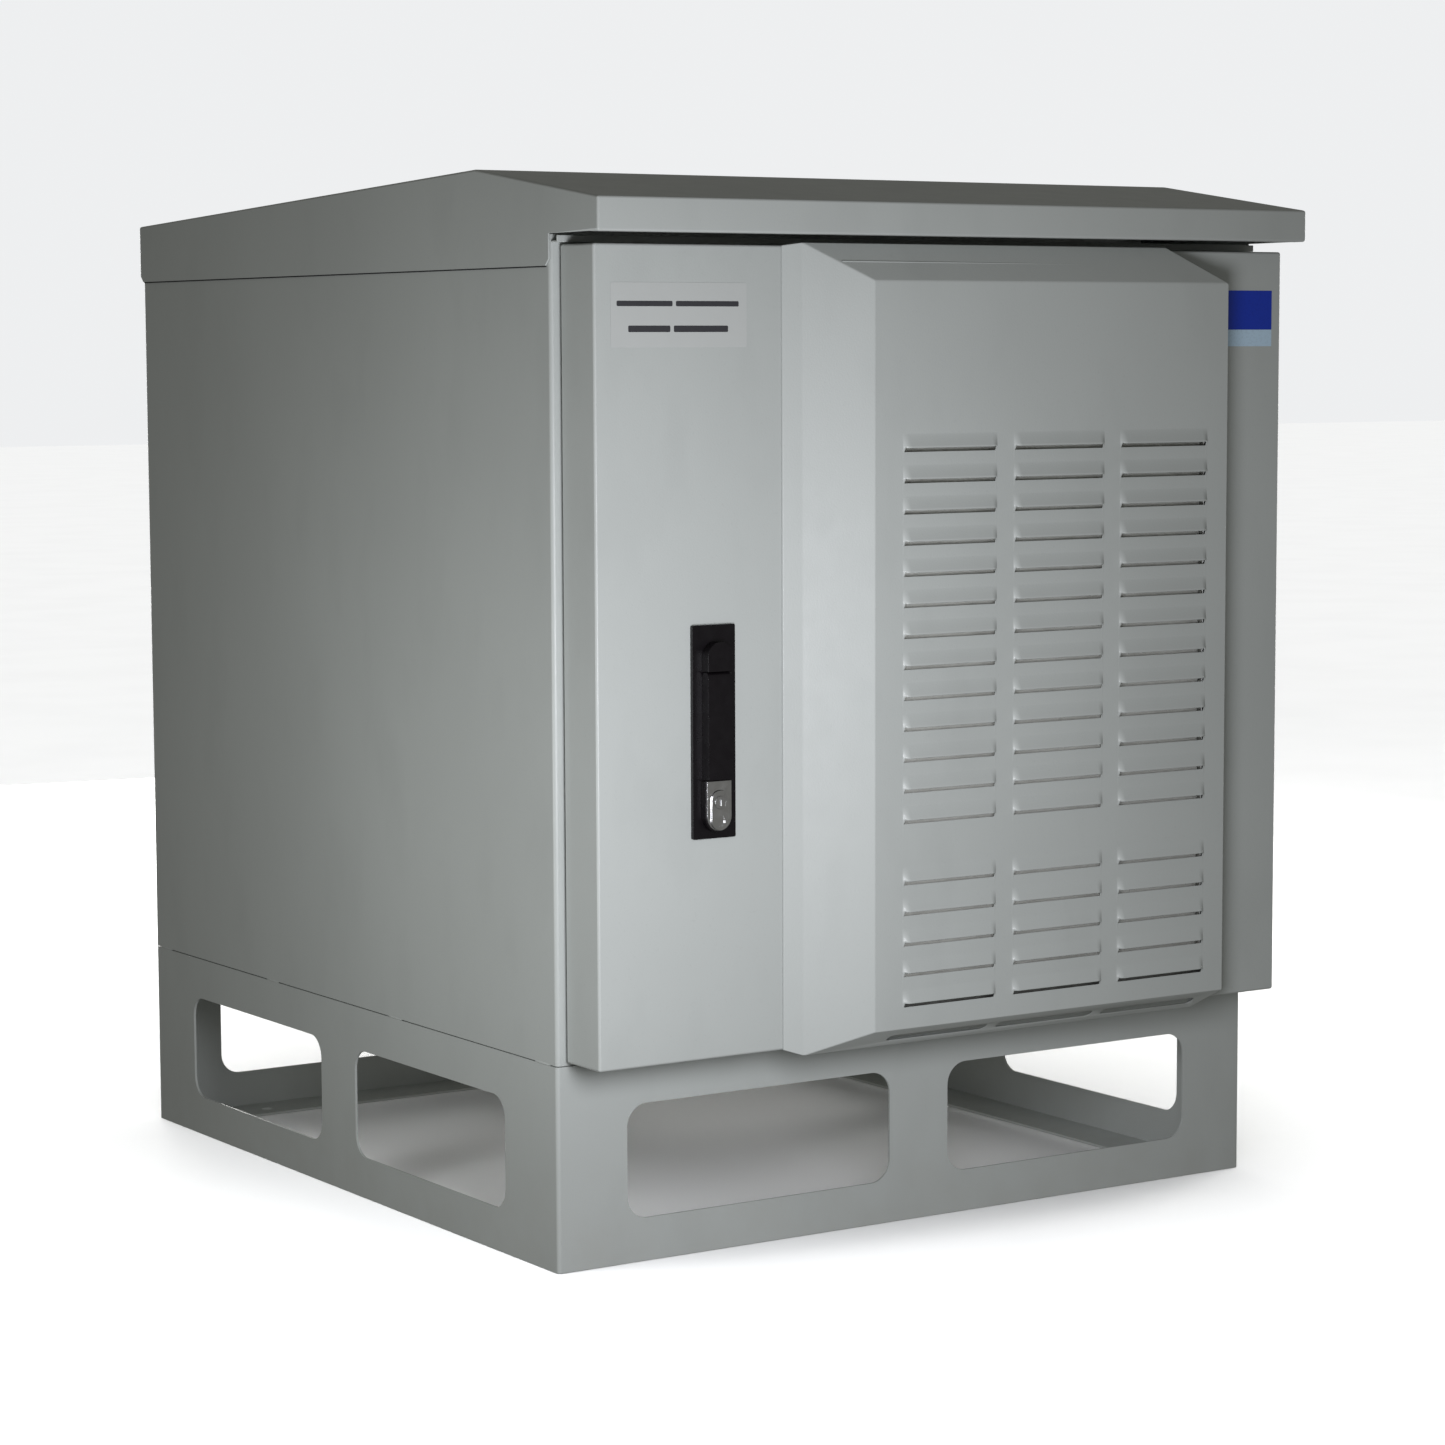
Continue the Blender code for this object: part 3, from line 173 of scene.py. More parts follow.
class Surface:
    """A Principled material with short ways to add noise, colour variation and bump."""

    def __init__(self, name, colour, roughness, metallic=0.0, specular=0.5):
        self.material = bpy.data.materials.new(name)
        self.material.use_nodes = True
        self.tree = self.material.node_tree
        self.shader = self.tree.nodes["Principled BSDF"]
        self.colour = (*colour, 1.0)
        set_inputs(self.shader, {
            "Base Color": self.colour, "Roughness": roughness,
            "Metallic": metallic, "Specular IOR Level": specular,
        })
        self.coordinates = self.node("ShaderNodeTexCoord").outputs["Object"]
        self.normal = None
        self.tinted = None

    def node(self, kind, values=None, **settings):
        made = self.tree.nodes.new(kind)
        for key, value in settings.items():
            setattr(made, key, value)
        set_inputs(made, values or {})
        return made

    def link(self, source, target):
        self.tree.links.new(source, target)

    def stretched(self, scale):
        mapping = self.node("ShaderNodeMapping", {"Scale": scale})
        self.link(self.coordinates, mapping.inputs["Vector"])
        return mapping.outputs["Vector"]

    def noise(self, scale, detail=3.0, stretch=(1.0, 1.0, 1.0)):
        """Soft noise from 0 to 1; scale is in repeats a metre."""
        made = self.node("ShaderNodeTexNoise", {"Scale": scale, "Detail": detail})
        self.link(self.stretched(stretch), made.inputs["Vector"])
        return made.outputs["Fac"]

    def cells(self, scale, output="Color"):
        made = self.node("ShaderNodeTexVoronoi", {"Scale": scale})
        self.link(self.coordinates, made.inputs["Vector"])
        return made.outputs[output]

    def ramp(self, source, low, high, start=0.0, end=1.0):
        """source from low to high, mapped to start to end and clamped there."""
        limits = {"From Min": low, "From Max": high, "To Min": start, "To Max": end}
        made = self.node("ShaderNodeMapRange", limits)
        self.link(source, made.inputs["Value"])
        return made.outputs["Result"]

    def near_floor(self, high):
        """1 at the floor, falling to 0 at a height."""
        split = self.node("ShaderNodeSeparateXYZ")
        self.link(self.coordinates, split.inputs["Vector"])
        return self.ramp(split.outputs["Z"], 0.0, high, 1.0, 0.0)

    def times(self, first, second):
        """One value times another value or a plain number."""
        made = self.node("ShaderNodeMath", operation="MULTIPLY")
        self.link(first, made.inputs[0])
        if isinstance(second, float):
            made.inputs[1].default_value = second
        else:
            self.link(second, made.inputs[1])
        return made.outputs[0]

    def tint(self, colour, amount):
        """Mixes another colour in by amount."""
        mix = self.node("ShaderNodeMix", data_type="RGBA")
        self.link(amount, mix.inputs[0])
        first, second = (socket for socket in mix.inputs if socket.type == "RGBA")
        first.default_value = self.colour
        second.default_value = (*colour, 1.0)
        if self.tinted is not None:
            self.link(self.tinted, first)
        self.tinted = next(socket for socket in mix.outputs if socket.type == "RGBA")
        self.link(self.tinted, self.shader.inputs["Base Color"])

    def cloud(self, colour, scale, detail, low, high, most=1.0, stretch=(1.0, 1.0, 1.0)):
        """Mixes another colour in where soft noise runs from low to high."""
        self.tint(colour, self.ramp(self.noise(scale, detail, stretch), low, high, 0.0, most))

    def roughen(self, source, start, end):
        self.link(self.ramp(source, 0.3, 0.7, start, end), self.shader.inputs["Roughness"])

    def bump(self, source, depth, strength=1.0):
        made = self.node("ShaderNodeBump", {"Distance": depth, "Strength": strength})
        self.link(source, made.inputs["Height"])
        if self.normal is not None:
            self.link(self.normal, made.inputs["Normal"])
        self.normal = made.outputs["Normal"]
        self.link(self.normal, self.shader.inputs["Normal"])


def powder_coat(name, colour, dusty=False):
    """Semi-gloss powder coat: orange peel, faint clouding, a few specks, dust low down."""
    made = Surface(name, colour, 0.46)
    made.shader.inputs["Coat Weight"].default_value = 0.12
    made.shader.inputs["Coat Roughness"].default_value = 0.11
    lighter = tuple(1.06 * channel for channel in colour)
    darker = tuple(0.90 * channel for channel in colour)
    made.cloud(lighter, 3.0, 2.0, 0.35, 0.70)
    made.cloud(darker, 17.0, 4.0, 0.52, 0.85, 0.45, (1.0, 1.0, 0.45))
    made.cloud(darker, 420.0, 1.0, 0.66, 0.78, 0.35)
    if dusty:
        dirt = made.times(made.near_floor(0.16), made.ramp(made.noise(26.0, 5.0), 0.35, 0.75))
        made.tint((0.30, 0.27, 0.22), made.times(dirt, 0.12))
    made.roughen(made.noise(40.0, 3.0), 0.42, 0.50)
    made.bump(made.noise(600.0, 2.0), 0.00022, 0.45)
    made.bump(made.noise(9.0, 2.0), 0.0006, 0.25)
    return made.material


def moulded(name, colour, roughness, grain=1800.0, depth=0.00008, contrast=1.5, specular=0.5):
    """Moulded plastic with a fine grain and a slightly uneven shine."""
    made = Surface(name, colour, roughness, specular=specular)
    lighter = tuple(contrast * channel for channel in colour)
    made.cloud(lighter, 60.0, 4.0, 0.45, 0.8, 0.35)
    made.roughen(made.noise(90.0, 4.0), roughness - 0.05, roughness + 0.09)
    made.bump(made.noise(grain, 1.0), depth, 0.5)
    return made.material


def zinc(name):
    """Zinc-plated sheet steel with spangle and faint rolling lines."""
    made = Surface(name, (0.58, 0.58, 0.56), 0.34, metallic=1.0)
    spangle = made.cells(95.0)
    made.tint((0.46, 0.47, 0.47), made.ramp(spangle, 0.2, 0.9, 0.0, 0.5))
    made.roughen(made.noise(30.0, 3.0), 0.36, 0.52)
    made.bump(made.noise(350.0, 2.0, (1.0, 1.0, 0.05)), 0.00004, 0.5)
    return made.material


def chrome(name):
    made = Surface(name, (0.78, 0.78, 0.79), 0.16, metallic=1.0)
    made.cloud((0.55, 0.55, 0.56), 240.0, 4.0, 0.55, 0.8, 0.5)
    made.roughen(made.noise(160.0, 4.0), 0.10, 0.26)
    made.bump(made.noise(700.0, 2.0), 0.00003, 0.4)
    return made.material


def copper(name):
    made = Surface(name, (0.80, 0.42, 0.28), 0.30, metallic=1.0)
    made.cloud((0.42, 0.22, 0.15), 45.0, 5.0, 0.45, 0.75, 0.7)
    made.roughen(made.noise(70.0, 4.0), 0.24, 0.42)
    made.bump(made.noise(500.0, 2.0, (0.05, 1.0, 1.0)), 0.00004, 0.5)
    return made.material


def foam_rubber(name):
    made = Surface(name, (0.022, 0.022, 0.024), 0.88)
    made.cloud((0.06, 0.06, 0.06), 300.0, 3.0, 0.5, 0.8, 0.6)
    made.bump(made.cells(900.0, output="Distance"), 0.0002, 0.7)
    return made.material


def fleece(name):
    """White polyester wadding: crossed fibres and grey dust."""
    made = Surface(name, (0.78, 0.78, 0.73), 0.95)
    made.shader.inputs["Sheen Weight"].default_value = 0.35
    made.shader.inputs["Sheen Roughness"].default_value = 0.6
    made.cloud((0.46, 0.45, 0.40), 22.0, 5.0, 0.45, 0.8, 0.55)
    crossed = (made.noise(700.0, 3.0, stretch) for stretch in ((1.0, 1.0, 0.12), (0.12, 1.0, 1.0)))
    fibres = made.times(*crossed)
    made.bump(fibres, 0.0012, 0.8)
    return made.material


def ink(name, colour, roughness=0.5):
    made = Surface(name, colour, roughness)
    made.cloud(tuple(0.7 * channel for channel in colour), 500.0, 3.0, 0.5, 0.8, 0.5)
    made.bump(made.noise(900.0, 2.0), 0.00002, 0.4)
    return made.material


FINISHES = {
    "grey_paint": powder_coat("powder_coat_grey", (0.440, 0.462, 0.448), dusty=True),
    "inner_paint": powder_coat("powder_coat_inner", (0.50, 0.51, 0.49)),
    "zinc_steel": zinc("zinc_plated_steel"),
    "chrome_metal": chrome("chrome_plate"),
    "black_plastic": moulded("black_plastic_grain", (0.0052, 0.0042, 0.0052), 0.27, specular=0.32),
    "grey_plastic": moulded("battery_case", (0.16, 0.17, 0.19), 0.46, 1200.0, 0.00015),
    "light_plastic": moulded("breaker_case", (0.66, 0.66, 0.63), 0.40),
    "copper_bar": copper("copper"),
    "foam_rubber": foam_rubber("cellular_rubber"),
    "filter_fleece": fleece("filter_fleece"),
}
LABEL_FILM = moulded("label_film", (0.475, 0.490, 0.478), 0.36, contrast=1.04)
LABEL_INK = ink("label_ink", (0.035, 0.035, 0.04))
STICKER_BLUE = ink("sticker_blue", (0.006, 0.035, 0.42), 0.35)
STICKER_LIGHT = ink("sticker_light", (0.50, 0.66, 0.80), 0.35)
WARM_RED = moulded("red_plastic", (0.45, 0.02, 0.015), 0.35)


# ---------------------------------------------------------------- mesh helpers


def show(obj):
    bpy.context.scene.collection.objects.link(obj)


def mesh_from(build):
    """Runs a bmesh builder and returns its mesh with the faces pointing out."""
    work = bmesh.new()
    build(work)
    bmesh.ops.recalc_face_normals(work, faces=work.faces)
    mesh = bpy.data.meshes.new("piece")
    work.to_mesh(mesh)
    work.free()
    return mesh


def round_edges(work, edges, radius, steps):
    bmesh.ops.bevel(
        work, geom=edges, offset=radius, segments=steps, profile=0.5, affect="EDGES", clamp_overlap=True,
    )


def block(low, high, radius=0.0, steps=3):
    """A box between two corners, with its edges rounded where a radius is given."""
    size = Vector(high) - Vector(low)
    middle = (Vector(high) + Vector(low)) / 2

    def build(work):
        place = Matrix.Translation(middle) @ Matrix.Diagonal((*size, 1.0))
        bmesh.ops.create_cube(work, size=1.0, matrix=place)
        if radius:
            round_edges(work, work.edges[:], radius, steps)

    return mesh_from(build)


def rod(start, end, radius, segments=32, end_radius=None):
    axis = Vector(end) - Vector(start)
    turn = Vector((0, 0, 1)).rotation_difference(axis).to_matrix().to_4x4()
    middle = Matrix.Translation((Vector(start) + Vector(end)) / 2)

    def build(work):
        bmesh.ops.create_cone(
            work, cap_ends=True, segments=segments, radius1=radius,
            radius2=radius if end_radius is None else end_radius, depth=axis.length, matrix=middle @ turn,
        )

    return mesh_from(build)


def flat_fill(outline, holes=(), thickness=0.0):
    """A filled flat outline with holes in the XY plane, or a closed prism where thickness is given."""
    curve = bpy.data.curves.new("outline", "CURVE")
    curve.dimensions = "2D"
    curve.fill_mode = "BOTH"
    curve.extrude = thickness / 2
    for points in (outline, *holes):
        spline = curve.splines.new("POLY")
        spline.points.add(len(points) - 1)
        for place, point in zip(spline.points, points):
            place.co = (*point, 0.0, 1.0)
        spline.use_cyclic_u = True
    holder = bpy.data.objects.new("outline", curve)
    show(holder)
    ready = holder.evaluated_get(bpy.context.evaluated_depsgraph_get())
    mesh = bpy.data.meshes.new_from_object(ready)
    bpy.data.objects.remove(holder, do_unlink=True)
    bpy.data.curves.remove(curve)
    return mesh


def prism(outline, axis, low, high, holes=()):
    """A flat outline extruded along X, Y or Z from low to high."""
    flat = flat_fill(outline, holes, high - low)
    shift = Vector((0.0, 0.0, 0.0))
    shift["XYZ".index(axis)] = (low + high) / 2

    def build(work):
        work.from_mesh(flat)
        bmesh.ops.remove_doubles(work, verts=work.verts, dist=1e-6)
        bmesh.ops.transform(work, matrix=Matrix.Translation(shift) @ AXES[axis], verts=work.verts)

    return mesh_from(build)


def arc(centre, radius, start, end, steps):
    points = []
    for step in range(steps + 1):
        angle = math.radians(start + (end - start) * step / steps)
        points.append((centre[0] + radius * math.cos(angle), centre[1] + radius * math.sin(angle)))
    return points


def rounded(left, right, low, high, radius, steps=6):
    points = arc((right - radius, high - radius), radius, 0, 90, steps)
    points += arc((left + radius, high - radius), radius, 90, 180, steps)
    points += arc((left + radius, low + radius), radius, 180, 270, steps)
    points += arc((right - radius, low + radius), radius, 270, 360, steps)
    return points


def circle(centre, radius, steps=32):
    return arc(centre, radius, 0, 360 * (steps - 1) / steps, steps - 1)


def stadium(half, low, high, steps=16):
    """An upright slot on the handle's line: half circles round the heights low and high."""
    return arc((HANDLE_X, high), half, 0, 180, steps) + arc((HANDLE_X, low), half, 180, 360, steps)


def plate(left, right, low, high, radius, front, rear, holes=()):
    """An upright plate across the cabinet, with rounded corners."""
    return prism(rounded(left, right, low, high, radius), "Y", front, rear, holes)


def through_door(x, z, radius, segments):
    return rod((x, DOOR_FACE - 0.01, z), (x, DOOR_FACE + 0.01, z), radius, segments)


def boolean(base, tools, operation):
    """base joined with, or cut by, each tool in turn, as a new mesh."""
    obj = bpy.data.objects.new("base", base)
    show(obj)
    holders = []
    for tool in tools:
        holder = bpy.data.objects.new("tool", tool)
        show(holder)
        holders.append(holder)
        modifier = obj.modifiers.new("step", "BOOLEAN")
        modifier.operation = operation
        modifier.solver = "EXACT"
        modifier.object = holder
    ready = obj.evaluated_get(bpy.context.evaluated_depsgraph_get())
    mesh = bpy.data.meshes.new_from_object(ready)
    for holder in (obj, *holders):
        bpy.data.objects.remove(holder, do_unlink=True)
    return mesh


def cut(base, *tools):
    return boolean(base, tools, "DIFFERENCE")


def unite(base, *tools):
    return boolean(base, tools, "UNION")


def together(*meshes):
    """Several closed meshes in one mesh, side by side."""
    def build(work):
        for mesh in meshes:
            work.from_mesh(mesh)

    return mesh_from(build)


def moved(mesh, matrix):
    result = mesh.copy()
    result.transform(matrix)
    return result


def around(count, radius):
    """Points (across, up) spaced evenly on a circle about the origin."""
    angles = [2 * math.pi * step / count for step in range(count)]
    return [(radius * math.cos(angle), radius * math.sin(angle)) for angle in angles]


def centred(x, half, depths, heights, radius=0.0, steps=3):
    """A block with its middle at x, between two depths and between two heights."""
    return block((x - half, depths[0], heights[0]), (x + half, depths[1], heights[1]), radius, steps)


def piece(name, mesh, body, finish, replaces=(), edge=EDGE_BREAK, steps=2, limit=30):
    """Puts a mesh in the scene as a piece that rides on a body, with its edges broken."""
    obj = bpy.data.objects.new(name, mesh)
    show(obj)
    material = FINISHES[finish] if isinstance(finish, str) else finish
    mesh.materials.clear()
    mesh.materials.append(material)
    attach(obj, body)
    if replaces:
        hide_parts(*replaces)
    mesh.shade_smooth()
    break_edges(obj, edge, steps, limit)
    return obj


def break_edges(obj, width, steps, limit):
    if width:
        modifier = obj.modifiers.new("edges", "BEVEL")
        modifier.width = width
        modifier.segments = steps
        modifier.limit_method = "ANGLE"
        modifier.angle_limit = math.radians(limit)
        modifier.use_clamp_overlap = True
        modifier.miter_outer = "MITER_ARC"
    normals = obj.modifiers.new("normals", "WEIGHTED_NORMAL")
    normals.keep_sharp = True
    normals.weight = 80


def smooth_group():
    """A node group that shades smooth and keeps the edges that are sharper than SMOOTH_ANGLE."""
    group = bpy.data.node_groups.new("smooth_by_angle", "GeometryNodeTree")
    group.interface.new_socket("Geometry", in_out="INPUT", socket_type="NodeSocketGeometry")
    group.interface.new_socket("Geometry", in_out="OUTPUT", socket_type="NodeSocketGeometry")
    start = group.nodes.new("NodeGroupInput")
    end = group.nodes.new("NodeGroupOutput")
    faces = group.nodes.new("GeometryNodeSetShadeSmooth")
    faces.domain = "FACE"
    edges = group.nodes.new("GeometryNodeSetShadeSmooth")
    edges.domain = "EDGE"
    edges.inputs["Shade Smooth"].default_value = False
    angle = group.nodes.new("GeometryNodeInputMeshEdgeAngle")
    over = group.nodes.new("FunctionNodeCompare")
    over.data_type = "FLOAT"
    over.operation = "GREATER_THAN"
    over.inputs["B"].default_value = math.radians(SMOOTH_ANGLE)
    group.links.new(start.outputs[0], faces.inputs["Geometry"])
    group.links.new(faces.outputs[0], edges.inputs["Geometry"])
    group.links.new(angle.outputs["Unsigned Angle"], over.inputs["A"])
    group.links.new(over.outputs[0], edges.inputs["Selection"])
    group.links.new(edges.outputs[0], end.inputs[0])
    return group


SMOOTH = smooth_group()


def refine_node(name, finish):
    """Gives a kept CAD node its material, smooth shading and broken edges."""
    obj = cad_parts[name]
    obj.data.materials.clear()
    obj.data.materials.append(FINISHES[finish])
    weld = obj.modifiers.new("weld", "WELD")
    weld.merge_threshold = 1e-5
    smooth = obj.modifiers.new("smooth", "NODES")
    smooth.node_group = SMOOTH
    break_edges(obj, EDGE_BREAK, 2, SMOOTH_ANGLE)


def rounded_solid(mesh, radius, above):
    """Joins the coplanar faces of a closed mesh and rounds its folds over a height."""

    def build(work):
        work.from_mesh(mesh)
        bmesh.ops.dissolve_limit(work, angle_limit=math.radians(0.2), verts=work.verts, edges=work.edges)
        sharp = [edge for edge in work.edges if edge.calc_face_angle(0.0) > math.radians(5)]
        folds = [edge for edge in sharp if sum(vert.co.z for vert in edge.verts) > 2 * above]
        round_edges(work, folds, radius, 3)

    return mesh_from(build)


# ---------------------------------------------------------------- plinth, body and roof


def inset_plan(inset, radius):
    return rounded(-HALF_WIDTH + inset, HALF_WIDTH - inset, BODY_FRONT + inset, BODY_REAR - inset, radius)


def make_plinth():
    """One welded frame: a folded web all round with windows, and a flange at the bottom and the top."""
    beyond = 0.01
    sheet = PLINTH_SHEET
    shell = prism(inset_plan(0.0, FOLD_RADIUS), "Z", 0.0, PLINTH_TOP)
    hollow = prism(inset_plan(sheet, FOLD_RADIUS - sheet), "Z", sheet, PLINTH_TOP - sheet)
    below = prism(inset_plan(BOTTOM_FLANGE, 0.002), "Z", -beyond, 2 * sheet)
    above = prism(inset_plan(TOP_FLANGE, 0.002), "Z", PLINTH_TOP - 2 * sheet, PLINTH_TOP + beyond)
    windows = []
    for side in (-1, 1):
        left, right = sorted(side * x for x in FRONT_WINDOWS)
        outline = rounded(left, right, WINDOW_LOW, WINDOW_HIGH, WINDOW_RADIUS, 10)
        windows.append(prism(outline, "Y", BODY_FRONT - beyond, BODY_REAR + beyond))
    for side in (-1, 1):
        start, end = sorted(SIDE_WINDOW_MIDDLE + side * y for y in SIDE_WINDOWS)
        outline = rounded(start, end, WINDOW_LOW, WINDOW_HIGH, WINDOW_RADIUS, 10)
        windows.append(prism(outline, "X", -HALF_WIDTH - beyond, HALF_WIDTH + beyond))
    anchors = []
    row = 0.6 * BOTTOM_FLANGE
    depth = BODY_REAR - BODY_FRONT
    middle = (BODY_FRONT + BODY_REAR) / 2
    for side in (-1, 1):
        for end in (-1, 1):
            places = (
                (side * 0.72 * HALF_WIDTH, middle + end * (depth / 2 - row)),
                (side * (HALF_WIDTH - row), middle + end * 0.36 * depth),
            )
            anchors += [rod((x, y, -beyond), (x, y, beyond), ANCHOR_RADIUS, 20) for x, y in places]
    mesh = cut(shell, hollow, below, above, *windows, together(*anchors))
    panels = ("plinth_front_panel", "plinth_rear_panel", "plinth_left_panel", "plinth_right_panel")
    piece("plinth_shell", mesh, "cabinet", "grey_paint", panels, edge=0.0007)


def make_body():
    """The body wrap with its folded corners, the door opening and the lip round it."""
    beyond = 0.02
    sheet = BODY_SHEET
    shell = prism(inset_plan(0.0, FOLD_RADIUS), "Z", BODY_BOTTOM + SEAM, BODY_TOP)
    hollow = prism(inset_plan(sheet, FOLD_RADIUS - sheet), "Z", BODY_BOTTOM - beyond, BODY_TOP + beyond)
    corner = 0.006
    outline = rounded(-OPENING_HALF, OPENING_HALF, OPENING_LOW, OPENING_HIGH, corner)
    opening = prism(outline, "Y", BODY_FRONT - beyond, BODY_FRONT + beyond)
    lip = plate(
        -OPENING_HALF - COVER_SHEET, OPENING_HALF + COVER_SHEET, OPENING_LOW - COVER_SHEET,
        OPENING_HIGH + COVER_SHEET, corner + COVER_SHEET,
        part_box("door_frame")[0].y, BODY_FRONT + sheet / 2, [outline],
    )
    mesh = unite(cut(shell, hollow, opening), lip)
    panels = ("left_side_panel", "right_side_panel", "rear_panel", "door_frame")
    piece("body_wrap", mesh, "cabinet", "grey_paint", panels)


def make_weld_spots():
    """Short welds on the seam between the left side and the plinth."""
    spots = []
    for share in (0.03, 0.36, 0.67, 0.97):
        y = BODY_FRONT + share * (BODY_REAR - BODY_FRONT)
        centre = Vector((-HALF_WIDTH + 0.0004, y, BODY_BOTTOM + SEAM / 2))

        def build(work, centre=centre):
            shape = Matrix.Translation(centre) @ Matrix.Diagonal((0.0010, 0.0150, 0.0012, 1.0))
            bmesh.ops.create_uvsphere(work, u_segments=20, v_segments=12, radius=1.0, matrix=shape)

        spots.append(mesh_from(build))
    piece("seam_welds", together(*spots), "cabinet", "grey_paint", edge=0.0)


def make_roof():
    """The folded cover: a low ridge near the front, a lip over the door, skirts on the other sides."""
    skirt = ROOF_LOW.z
    front, rear, ridge = ROOF_LOW.y, ROOF_HIGH.y, ROOF_HIGH.z
    outer = [
        (front, LIP_BOTTOM), (BODY_FRONT, LIP_BOTTOM), (BODY_FRONT, skirt + 0.006),
        (BODY_FRONT + 0.006, skirt), (rear - 0.008, skirt), (rear, skirt + 0.008),
        (rear, EAVE_HEIGHT), (RIDGE_Y, ridge), (front, EAVE_HEIGHT),
    ]
    sheet = COVER_SHEET
    below = skirt - 0.02
    inner = [
        (front + sheet, LIP_BOTTOM + sheet), (front + LIP_RETURN, LIP_BOTTOM + sheet),
        (front + LIP_RETURN, below), (rear - sheet, below), (rear - sheet, EAVE_HEIGHT - sheet),
        (RIDGE_Y, ridge - sheet), (front + sheet, EAVE_HEIGHT - sheet),
    ]
    blank = prism(outer, "X", ROOF_LOW.x, ROOF_HIGH.x)
    solid = rounded_solid(blank, ROOF_EDGE, LIP_BOTTOM - 0.005)
    hollow = prism(inner, "X", ROOF_LOW.x + sheet, ROOF_HIGH.x - sheet)
    piece("roof_skin", cut(solid, hollow), "cabinet", "grey_paint", ("roof_cover",), edge=0.0004, limit=40)


def make_roof_shadow_line():
    """Painted shade: a thin dark rubber strip on each side of the body, just below the edge of the roof's
    skirt, standing in for the shadow line under the skirt.
    """
    top = ROOF_LOW.z - 0.0001
    start, end = BODY_FRONT + 0.006, BODY_REAR - 0.004
    strips = []
    for side in (-1, 1):
        x = sorted((side * (HALF_WIDTH + 0.0001), side * (HALF_WIDTH + 0.0013)))
        strips.append(block((x[0], start, top - 0.0012), (x[1], end, top)))
    # The dark strip is painted shade: the shadow line under the roof's skirt, made as a rubber strip.
    piece("roof_shadow_line", together(*strips), "cabinet", "foam_rubber", edge=0.0002, steps=1)


# ---------------------------------------------------------------- door


def make_door():
    """The door pan: rounded outer edges, a return flange behind, holes for the fans and the spindle."""
    solid = block(DOOR_LOW, DOOR_HIGH, DOOR_EDGE, 5)
    sheet = Vector((COVER_SHEET, COVER_SHEET, COVER_SHEET))
    pocket = block(DOOR_LOW + sheet, DOOR_HIGH - sheet)
    reach = Vector((DOOR_RETURN, -0.01, DOOR_RETURN))
    mouth = block(DOOR_LOW + Vector((reach.x, 0.01, reach.z)), DOOR_HIGH - reach)
    holes = []
    for fan in ("fan_housing_1", "fan_housing_2"):
        low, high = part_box(fan)
        middle = (low + high) / 2
        holes.append(through_door(middle.x, middle.z, FAN_HOLE, 48))
    holes.append(through_door(HANDLE_X, TURN_Z, 0.008, 24))
    mesh = cut(solid, pocket, mouth, together(*holes))
    piece("door_skin", mesh, "door", "grey_paint", ("door_shell",), edge=0.0004, limit=35)


def louvre_lines():
    """Grid lines across and up the louvred panel, with each line's distance from the crest of its louvre.

    The distance runs from 0 on the crest, which is the lower edge between the two round ends, to 1
    where the louvre meets the flat sheet.
    """
    steps = 7
    across = []
    for centre in LOUVRE_CENTRES:
        left = centre - LOUVRE_WIDTH / 2
        right = centre + LOUVRE_WIDTH / 2
        shares = [step / steps for step in range(steps + 1)]
        across += [(left + LOUVRE_END * share, 1 - share) for share in shares]
        across += [(right - LOUVRE_END * share, 1 - share) for share in reversed(shares)]
    up = []
    for row in reversed(LOUVRE_ROWS):
        low = LOUVRE_FIRST - LOUVRE_PITCH * row
        up.append((low - LOUVRE_SLOT, None))
        for step in range(steps + 2):
            share = step / (steps + 1)
            up.append((low + LOUVRE_HEIGHT * share, share))
    return across, up, steps


def louvre_rise(end, height):
    """How far a louvre stands out: round in plan at its ends, falling smoothly to the flat sheet above."""
    if height is None:
        return 0.0
    return LOUVRE_PROUD * (1 - height) ** 1.35 * (1 - end ** 2) ** 1.1


def build_louvred_panel(work, face):
    """The front of the hood: a grid that swells into the louvres, with a slot under each."""
    across, up, steps = louvre_lines()
    per_column = 2 * (steps + 1)
    per_row = steps + 3
    rows = []
    for z, height in up:
        rows.append([work.verts.new((x, face - louvre_rise(end, height), z)) for x, end in across])
    for j in range(len(up) - 1):
        in_slot = j % per_row == 0
        for i in range(len(across) - 1):
            column_step = i % per_column
            if in_slot and 2 <= column_step <= per_column - 4:
                continue
            work.faces.new((rows[j][i], rows[j][i + 1], rows[j + 1][i + 1], rows[j + 1][i]))
    low, high = rows[0], rows[-1]
    left = [row[0] for row in rows]
    right = [row[-1] for row in rows]
    corners = {}
    for x in (PANEL_LEFT, PANEL_RIGHT):
        for z in (PANEL_LOW, PANEL_HIGH):
            corners[x, z] = work.verts.new((x, face, z))
    low_left, low_right = corners[PANEL_LEFT, PANEL_LOW], corners[PANEL_RIGHT, PANEL_LOW]
    high_left, high_right = corners[PANEL_LEFT, PANEL_HIGH], corners[PANEL_RIGHT, PANEL_HIGH]
    work.faces.new([low_left, low_right, *reversed(low)])
    work.faces.new([high_right, high_left, *high])
    work.faces.new([low_left, *left, high_left])
    work.faces.new([low_right, *right, high_right])
    return corners


